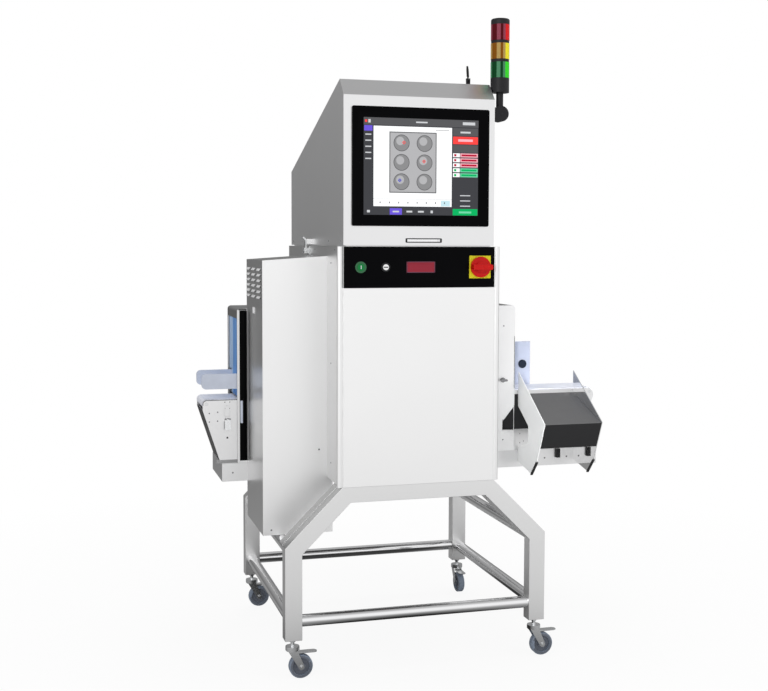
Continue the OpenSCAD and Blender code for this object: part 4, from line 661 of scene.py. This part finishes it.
# cover between the side plates, below the infeed nose, in black: a painted reflection of the dark
# surroundings its polished face mirrors
endCover = {"topX": -622.6, "topZ": 784, "lowX": -565.6, "lowZ": 611, "front": 101.5, "back": 254.5,
            "thick": 2.6}
bm = bmesh.new()
verts, _ = addOutline(bm, [(endCover["topX"], endCover["front"], endCover["topZ"]),
                           (endCover["lowX"], endCover["front"], endCover["lowZ"]),
                           (endCover["lowX"] + endCover["thick"], endCover["front"], endCover["lowZ"]),
                           (endCover["topX"] + endCover["thick"], endCover["front"], endCover["topZ"])])
pushFaces(bm, [bm.faces.new(verts)], (0, endCover["back"] - endCover["front"], 0))
makePiece(bm, "endCover", [finishes["blackGlass"]], "root")

# the end wall's edge beside the slide, in painted shade and painted highlight: dark above the belt, bright
# across the notch
outfeedEdge = {"left": 520.6, "right": 523.2, "face": 91.0, "seat": 92.6, "dark": (829, 1022),
               "bright": (675, 766), "rounding": 0.2}
bm = bmesh.new()
for slotIndex, (low, high) in enumerate((outfeedEdge["dark"], outfeedEdge["bright"])):
    addBox(bm, (outfeedEdge["left"], outfeedEdge["face"], low),
           (outfeedEdge["right"], outfeedEdge["seat"], high), slotIndex, outfeedEdge["rounding"])
makePiece(bm, "outfeedEdge", [finishes["blackPaint"], finishes["frontSteel"]], "root")

# rivets of the latch plates, and below them a black disc, painted shade for a hole
latchRivets = {"across": (-545.5, -528.5), "heights": (790, 812, 722, 735), "seat": 95, "face": 94.2,
               "radius": 1.7, "top": 1.2, "sides": 14, "holeX": -537.3, "holeZ": 687.6, "holeSeat": 97,
               "holeFace": 96.6, "holeRadius": 3.4, "holeTop": 3.2, "holeSides": 20}
bm = bmesh.new()
for x in latchRivets["across"]:
    for z in latchRivets["heights"]:
        addRod(bm, (x, latchRivets["seat"], z), (x, latchRivets["face"], z), latchRivets["radius"],
               latchRivets["sides"], latchRivets["top"])
addRod(bm, (latchRivets["holeX"], latchRivets["holeSeat"], latchRivets["holeZ"]),
       (latchRivets["holeX"], latchRivets["holeFace"], latchRivets["holeZ"]), latchRivets["holeRadius"],
       latchRivets["holeSides"], latchRivets["holeTop"])
makePiece(bm, "latchRivets", [finishes["blackPaint"]], "root")
latchGrip = {"low": (-546.5, 84.9, 727), "high": (-527.5, 87.2, 735), "rounding": 0.6}
boxPiece("latchGrip", latchGrip, "blackRubber", "belt_latch")
print("infeed end dressed")

# casters: tyre and hub in two tones, and axle nuts; each place comes with the axle's axis (0 x, 1 y)
wheelSpots = {"front_left": ((-380.5, -386, 37.5), 1), "front_right": ((432.5, -386, 37.5), 1),
              "rear_left": ((-380.5, 386, 37.5), 1), "rear_right": ((406.5, 360, 37.5), 0)}
casterLook = {"softness": 0.6, "tyreInner": 26.8, "forkFace": 16.5, "nutRadius": 6.2, "nutHeight": 3.6,
              "nutSides": 6, "axleRadius": 3.6, "axleEnd": 3.2, "axleHeight": 1.8, "axleSides": 20}
for corner, (centre, axis) in wheelSpots.items():
    wheel = softenedCopy("caster_wheel_" + corner, casterLook["softness"], finishes["hubGrey"])
    wheel.data.materials.append(finishes["treadGrey"])
    for face in wheel.data.polygons:
        away = face.center * 1000 - Vector(centre)
        away[axis] = 0
        if away.length > casterLook["tyreInner"]:
            face.material_index = 1
    bm = bmesh.new()
    for side in (-1, 1):
        out = Vector((0, 0, 0))
        out[axis] = side
        seat = Vector(centre) + out * casterLook["forkFace"]
        top = seat + out * casterLook["nutHeight"]
        addRod(bm, seat, top, casterLook["nutRadius"], casterLook["nutSides"])
        addRod(bm, top, top + out * casterLook["axleHeight"], casterLook["axleRadius"],
               casterLook["axleSides"], casterLook["axleEnd"])
    makePiece(bm, "axleNuts_" + corner, [finishes["zinc"]], "fork_" + corner)
print("casters dressed")

# signal lenses: shells with bands of painted shade, painted light and painted highlight running down them, in
# three tones
lensLook = {"x": 280, "y": -359, "outer": 30, "inner": 27, "facets": 90, "turn": -111.3, "rough": 0.14,
            "bump": 0.02, "toneShare": 0.97, "shine": 0.1}
lensTones = {   # deep, pale and bright: painted shade, painted light and painted highlight
    "green": ((0.0, 0.055, 0.012), (0.075, 0.26, 0.13), (0.045, 0.78, 0.025)),
    "amber": ((0.25, 0.085, 0.002), (0.50, 0.33, 0.10), (0.98, 0.86, 0.03)),
    "red": ((0.10, 0.001, 0.006), (0.30, 0.055, 0.09), (0.78, 0.012, 0.015)),
}
lensLightBands = [(-180, 1), (-158, 0), (-134, 1), (-112, 0), (-90, 1), (-56, 0), (-20, 1), (2, 0), (20, 1),
             (37, 2), (90, 1), (112, 0), (134, 1), (158, 0)]   # from this angle on, the tone


def lensLightBand(face):
    # the band that a face lies in, by its angle round the light
    middle = face.calc_center_median() * 1000
    angle = degrees(atan2(middle.y - lensLook["y"], middle.x - lensLook["x"])) - lensLook["turn"]
    angle = (angle + 180) % 360 - 180
    return [tone for start, tone in lensLightBands if start <= angle][-1]


for tone, colours in lensTones.items():
    glass = [moulded(tone + part, colour, lensLook["rough"], bump=lensLook["bump"],
                     toneShare=lensLook["toneShare"], shine=lensLook["shine"])
             for part, colour in zip(("Deep", "Pale", "Bright"), colours)]
    low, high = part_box(tone + "_lens")
    section = [(lensLook["x"] + lensLook[wall], lensLook["y"], z * 1000) for wall, z in (
        ("outer", low[2]), ("outer", high[2]), ("inner", high[2]), ("inner", low[2]))]
    bm = bmesh.new()
    spinOutline(bm, section, (lensLook["x"], lensLook["y"], 0), (0, 0, 1), lensLook["facets"])
    for face in bm.faces:
        face.material_index = lensLightBand(face)
    makePiece(bm, tone + "Lens", glass, "tower", (tone + "_lens",))
print("signal light dressed")

# curtain strips, hung inside both mouths; the outer strips are cut out round the guide bars
curtainLook = {"strips": 5, "width": 36.0, "low": 828.0, "high": 1130.5, "pitch": 38.6, "firstY": 98.0,
               "thick": 2.0, "across": 6, "down": 30, "notches": {0: 114.7, 4: 241.3}, "notchTop": 911.6,
               "bow": 2.2, "evenBow": 0.55, "waveBow": 0.45, "edgeBow": 0.35, "turnPerStrip": 2.1,
               "turnDown": 5, "lastDark": 2}
curtainWalls = {"infeed": (-498.6, 1), "outfeed": (519.6, -1)}   # x, and which way is into the tunnel
curtainHeight = curtainLook["high"] - curtainLook["low"]
gridUpright = Matrix(((0, 0, 1, 0), (1, 0, 0, 0), (0, 1, 0, 0), (0, 0, 0, 1)))


def curtainGrid(bm, x, y0, y1):
    bmesh.ops.create_grid(bm, x_segments=curtainLook["across"], y_segments=curtainLook["down"], size=0.5)
    bmesh.ops.scale(bm, vec=((y1 - y0) / 1000, curtainHeight / 1000, 1), verts=bm.verts)
    bmesh.ops.transform(bm, matrix=gridUpright, verts=bm.verts)
    middle = (x / 1000, (y0 + y1) / 2000, (curtainLook["low"] + curtainLook["high"]) / 2000)
    bmesh.ops.translate(bm, vec=middle, verts=bm.verts)


def cutNotch(bm, notch, side):
    # takes away what lies beyond the notch's side and below its top
    cuts = (((0, notch / 1000, 0), (0, 1, 0)), ((0, 0, curtainLook["notchTop"] / 1000), (0, 0, 1)))
    for point, normal in cuts:
        bmesh.ops.bisect_plane(bm, geom=bm.verts[:] + bm.edges[:] + bm.faces[:], dist=1e-6,
                               plane_co=point, plane_no=normal)
    middles = {face: face.calc_center_median() * 1000 for face in bm.faces}
    gone = [face for face, middle in middles.items()
            if middle[2] < curtainLook["notchTop"] and (middle[1] - notch) * side > 0]
    bmesh.ops.delete(bm, geom=gone, context="FACES")


def bowStrip(bm, strip, y0, y1, inward):
    # each strip hangs with its own slight bow, most at its foot
    for vert in bm.verts:
        share = (vert.co[2] * 1000 - curtainLook["low"]) / curtainHeight
        across = (vert.co[1] * 1000 - y0) / (y1 - y0)
        wave = sin(curtainLook["turnPerStrip"] * strip + curtainLook["turnDown"] * share)
        swing = (curtainLook["evenBow"] + curtainLook["waveBow"] * wave
                 - curtainLook["edgeBow"] * (2 * across - 1) ** 2)
        vert.co[0] += inward * curtainLook["bow"] / 1000 * (1 - share) * swing


for end, (wall, inward) in curtainWalls.items():
    for strip in range(curtainLook["strips"]):
        y0 = curtainLook["firstY"] + strip * curtainLook["pitch"]
        y1 = y0 + curtainLook["width"]
        notch = curtainLook["notches"].get(strip)
        bm = bmesh.new()
        curtainGrid(bm, wall, y0, y1)
        if notch:
            cutNotch(bm, notch, 1 if strip else -1)
        bowStrip(bm, strip, y0, y1, inward)
        # painted light: the strips after the third take the paler blue
        blue = finishes["curtainLitBlue" if strip > curtainLook["lastDark"] else "curtainBlue"]
        curtain = makePiece(bm, f"{end}Curtain{strip}", [blue], "root", ("curtains",))
        wallThickness = curtain.modifiers.new("wall", "SOLIDIFY")
        wallThickness.thickness = curtainLook["thick"] / 1000
        wallThickness.offset = 0.0
print("curtains hung")

# camera at the photograph's viewing angle
photoCamera = {
    "place": (-1.1274, -3.9812, 1.3624), "yaw": -15.76, "pitch": -3.58, "roll": -0.18,
    "lens": 55.815, "sensor": 36.0, "shiftY": -0.0367, "farthest": 60,
}
lensData = bpy.data.cameras.new("photoCamera")
lensData.lens = photoCamera["lens"]
lensData.sensor_width = photoCamera["sensor"]
lensData.shift_y = photoCamera["shiftY"]
lensData.clip_end = photoCamera["farthest"]
camera = bpy.data.objects.new("photoCamera", lensData)
camera.location = photoCamera["place"]
camera.rotation_euler = (radians(90 + photoCamera["pitch"]), radians(photoCamera["roll"]),
                         radians(photoCamera["yaw"]))
bpy.context.scene.collection.objects.link(camera)
bpy.context.scene.camera = camera

# soft panels round the machine: place, what they look at, size, power, and whether the steel mirrors them
panels = {
    "keyLight": ((-3.2, -4.2, 3.4), (0, 0, 1.0), (3.2, 3.2), 62, True),
    "fillLight": ((3.6, -3.2, 2.2), (0, 0, 0.9), (2.6, 3.0), 34, False),
    "topLight": ((0.2, 0.2, 4.6), (0, 0, 1.0), (3.4, 3.4), 52, False),
    "backLight": ((2.2, 4.2, 2.6), (0, 0, 1.2), (2.4, 2.4), 30, False),
}
# a soft spot past the cabinet's corner, for the outfeed side
outfeedSpot = {"place": (-1.0, -3.4, 1.3), "target": (0.6, -0.05, 0.74), "power": 650, "cone": 17,
               "blend": 1.0, "source": 0.3}


def hangLamp(data, place, target, power, mirrored):
    data.energy = power
    lamp = bpy.data.objects.new(data.name, data)
    lamp.location = place
    lamp.rotation_euler = (Vector(target) - Vector(place)).to_track_quat("-Z", "Y").to_euler()
    lamp.visible_glossy = mirrored
    bpy.context.scene.collection.objects.link(lamp)


for name, (position, target, size, power, mirrored) in panels.items():
    panelData = bpy.data.lights.new(name, "AREA")
    panelData.shape = "RECTANGLE"
    panelData.size, panelData.size_y = size
    hangLamp(panelData, position, target, power, mirrored)
spotData = bpy.data.lights.new("outfeedSpot", "SPOT")
spotData.spot_size = radians(outfeedSpot["cone"])
spotData.spot_blend = outfeedSpot["blend"]
spotData.shadow_soft_size = outfeedSpot["source"]
hangLamp(spotData, outfeedSpot["place"], outfeedSpot["target"], outfeedSpot["power"], False)


def blend(tree, factor, first, second):
    # a plain number or an output can be given for each end
    node = tree.nodes.new("ShaderNodeMix")
    tree.links.new(factor, node.inputs["Factor"])
    for socket, end in (("A", first), ("B", second)):
        if isinstance(end, float):
            node.inputs[socket].default_value = end
        else:
            tree.links.new(end, node.inputs[socket])
    return node.outputs["Result"]


def combine(tree, operation, first, second):
    node = tree.nodes.new("ShaderNodeMath")
    node.operation = operation
    tree.links.new(first, node.inputs[0])
    tree.links.new(second, node.inputs[1])
    return node.outputs["Value"]


def mixShaders(tree, factor, first, second, target):
    node = tree.nodes.new("ShaderNodeMixShader")
    tree.links.new(factor, node.inputs["Fac"])
    tree.links.new(first.outputs[0], node.inputs[1])
    tree.links.new(second.outputs[0], node.inputs[2])
    tree.links.new(node.outputs["Shader"], target.inputs["Surface"])


def raysAndPlace(tree, coordinates):
    # the kinds of ray, the coordinates, and the coordinates' single values
    rays = tree.nodes.new("ShaderNodeLightPath")
    place = tree.nodes.new("ShaderNodeTexCoord").outputs[coordinates]
    split = tree.nodes.new("ShaderNodeSeparateXYZ")
    tree.links.new(place, split.inputs["Vector"])
    return rays.outputs, place, split.outputs


# the room: even light for matt surfaces, white for the camera, and what the steel mirrors, which is a white
# wall in front of the machine, a dim one behind it that lightens upward, and a grey ceiling
room = {"even": 0.55, "frontTone": 0.98, "behindFrom": -0.25, "behindTo": 0.9, "wallFoot": 0.17,
        "wallTop": 0.50, "wallHigh": 0.6, "ceilingFrom": 0.55, "ceilingTo": 0.95, "ceilingTone": 0.42}
world = bpy.data.worlds.new("studio")
bpy.context.scene.world = world
world.use_nodes = True
tree = world.node_tree
tree.nodes.clear()
output = tree.nodes.new("ShaderNodeOutputWorld")
even = tree.nodes.new("ShaderNodeBackground")
seen = tree.nodes.new("ShaderNodeBackground")
for background in (even, seen):
    background.inputs["Color"].default_value = (1, 1, 1, 1)
even.inputs["Strength"].default_value = room["even"]
rays, place, split = raysAndPlace(tree, "Generated")
behind = mapRange(tree, split["Y"], room["behindFrom"], room["behindTo"], 0.0, 1.0)
dimWall = mapRange(tree, split["Z"], 0.0, room["wallHigh"], room["wallFoot"], room["wallTop"])
overhead = mapRange(tree, split["Z"], room["ceilingFrom"], room["ceilingTo"], 0.0, 1.0)
mirrored = blend(tree, overhead, blend(tree, behind, room["frontTone"], dimWall), room["ceilingTone"])
tree.links.new(blend(tree, rays["Is Camera Ray"], mirrored, 1.0), seen.inputs["Strength"])
glossSeen = combine(tree, "MAXIMUM", rays["Is Glossy Ray"], rays["Is Transmission Ray"])
anySeen = combine(tree, "MAXIMUM", rays["Is Camera Ray"], glossSeen)
mixShaders(tree, anySeen, even, seen, output)

# pale floor that shows white to the camera and still keeps a soft shadow; the steel mirrors it dark under the
# machine, white in front of it and dim behind it (each stop is a distance in metres and a tone)
floorLook = {"halfSize": 14, "colour": (0.86, 0.86, 0.86), "rough": 0.9, "shine": 0.1, "reach": 6.0,
             "front": [(0.42, 0.02), (0.62, 0.25), (1.1, 0.66), (2.2, 0.78), (6.0, 0.95)],
             "rear": [(0.42, 0.06), (0.62, 0.26), (1.1, 0.32), (2.2, 0.27), (6.0, 0.17)],
             "rearFrom": -0.3, "rearTo": 0.6, "shadowFrom": 0.7, "shadowTo": 2.6, "whiteShare": 0.91}


def toneRamp(tree, value, stops, span):
    # grey tones along a distance
    ramp = tree.nodes.new("ShaderNodeValToRGB")
    band = ramp.color_ramp
    while len(band.elements) < len(stops):
        band.elements.new(0.5)
    for element, (distance, tone) in zip(band.elements, stops):
        element.position = distance / span
        element.color = (tone, tone, tone, 1)
    tree.links.new(mapRange(tree, value, 0.0, span, 0.0, 1.0), ramp.inputs["Fac"])
    return ramp.outputs["Color"]


bm = bmesh.new()
bmesh.ops.create_grid(bm, x_segments=2, y_segments=2, size=floorLook["halfSize"])
floorMesh = bpy.data.meshes.new("studioFloor")
bm.to_mesh(floorMesh)
bm.free()
studioFloor = bpy.data.objects.new("studioFloor", floorMesh)
bpy.context.scene.collection.objects.link(studioFloor)
floorMaterial, floorShader = startMaterial("paleFloor", floorLook["colour"], floorLook["rough"],
                                           shine=floorLook["shine"])
tree = floorMaterial.node_tree
rays, place, split = raysAndPlace(tree, "Object")
reach = tree.nodes.new("ShaderNodeVectorMath")
reach.operation = "LENGTH"
tree.links.new(place, reach.inputs[0])
away = reach.outputs["Value"]
frontTone = toneRamp(tree, away, floorLook["front"], floorLook["reach"])
rearTone = toneRamp(tree, away, floorLook["rear"], floorLook["reach"])
rearShare = mapRange(tree, split["Y"], floorLook["rearFrom"], floorLook["rearTo"], 0.0, 1.0)
mirrorTone = blend(tree, rearShare, frontTone, rearTone)
glow = tree.nodes.new("ShaderNodeEmission")
tree.links.new(blend(tree, rays["Is Camera Ray"], mirrorTone, 1.0), glow.inputs["Strength"])
whiteShare = mapRange(tree, away, floorLook["shadowFrom"], floorLook["shadowTo"],
                      floorLook["whiteShare"], 1.0)
cameraShare = combine(tree, "MULTIPLY", rays["Is Camera Ray"], whiteShare)
glowShare = combine(tree, "MAXIMUM", cameraShare, rays["Is Glossy Ray"])
mixShaders(tree, glowShare, floorShader, glow, tree.nodes["Material Output"])
floorMesh.materials.append(floorMaterial)
bpy.context.scene.view_settings.view_transform = "Standard"
print("camera, lights and floor set")
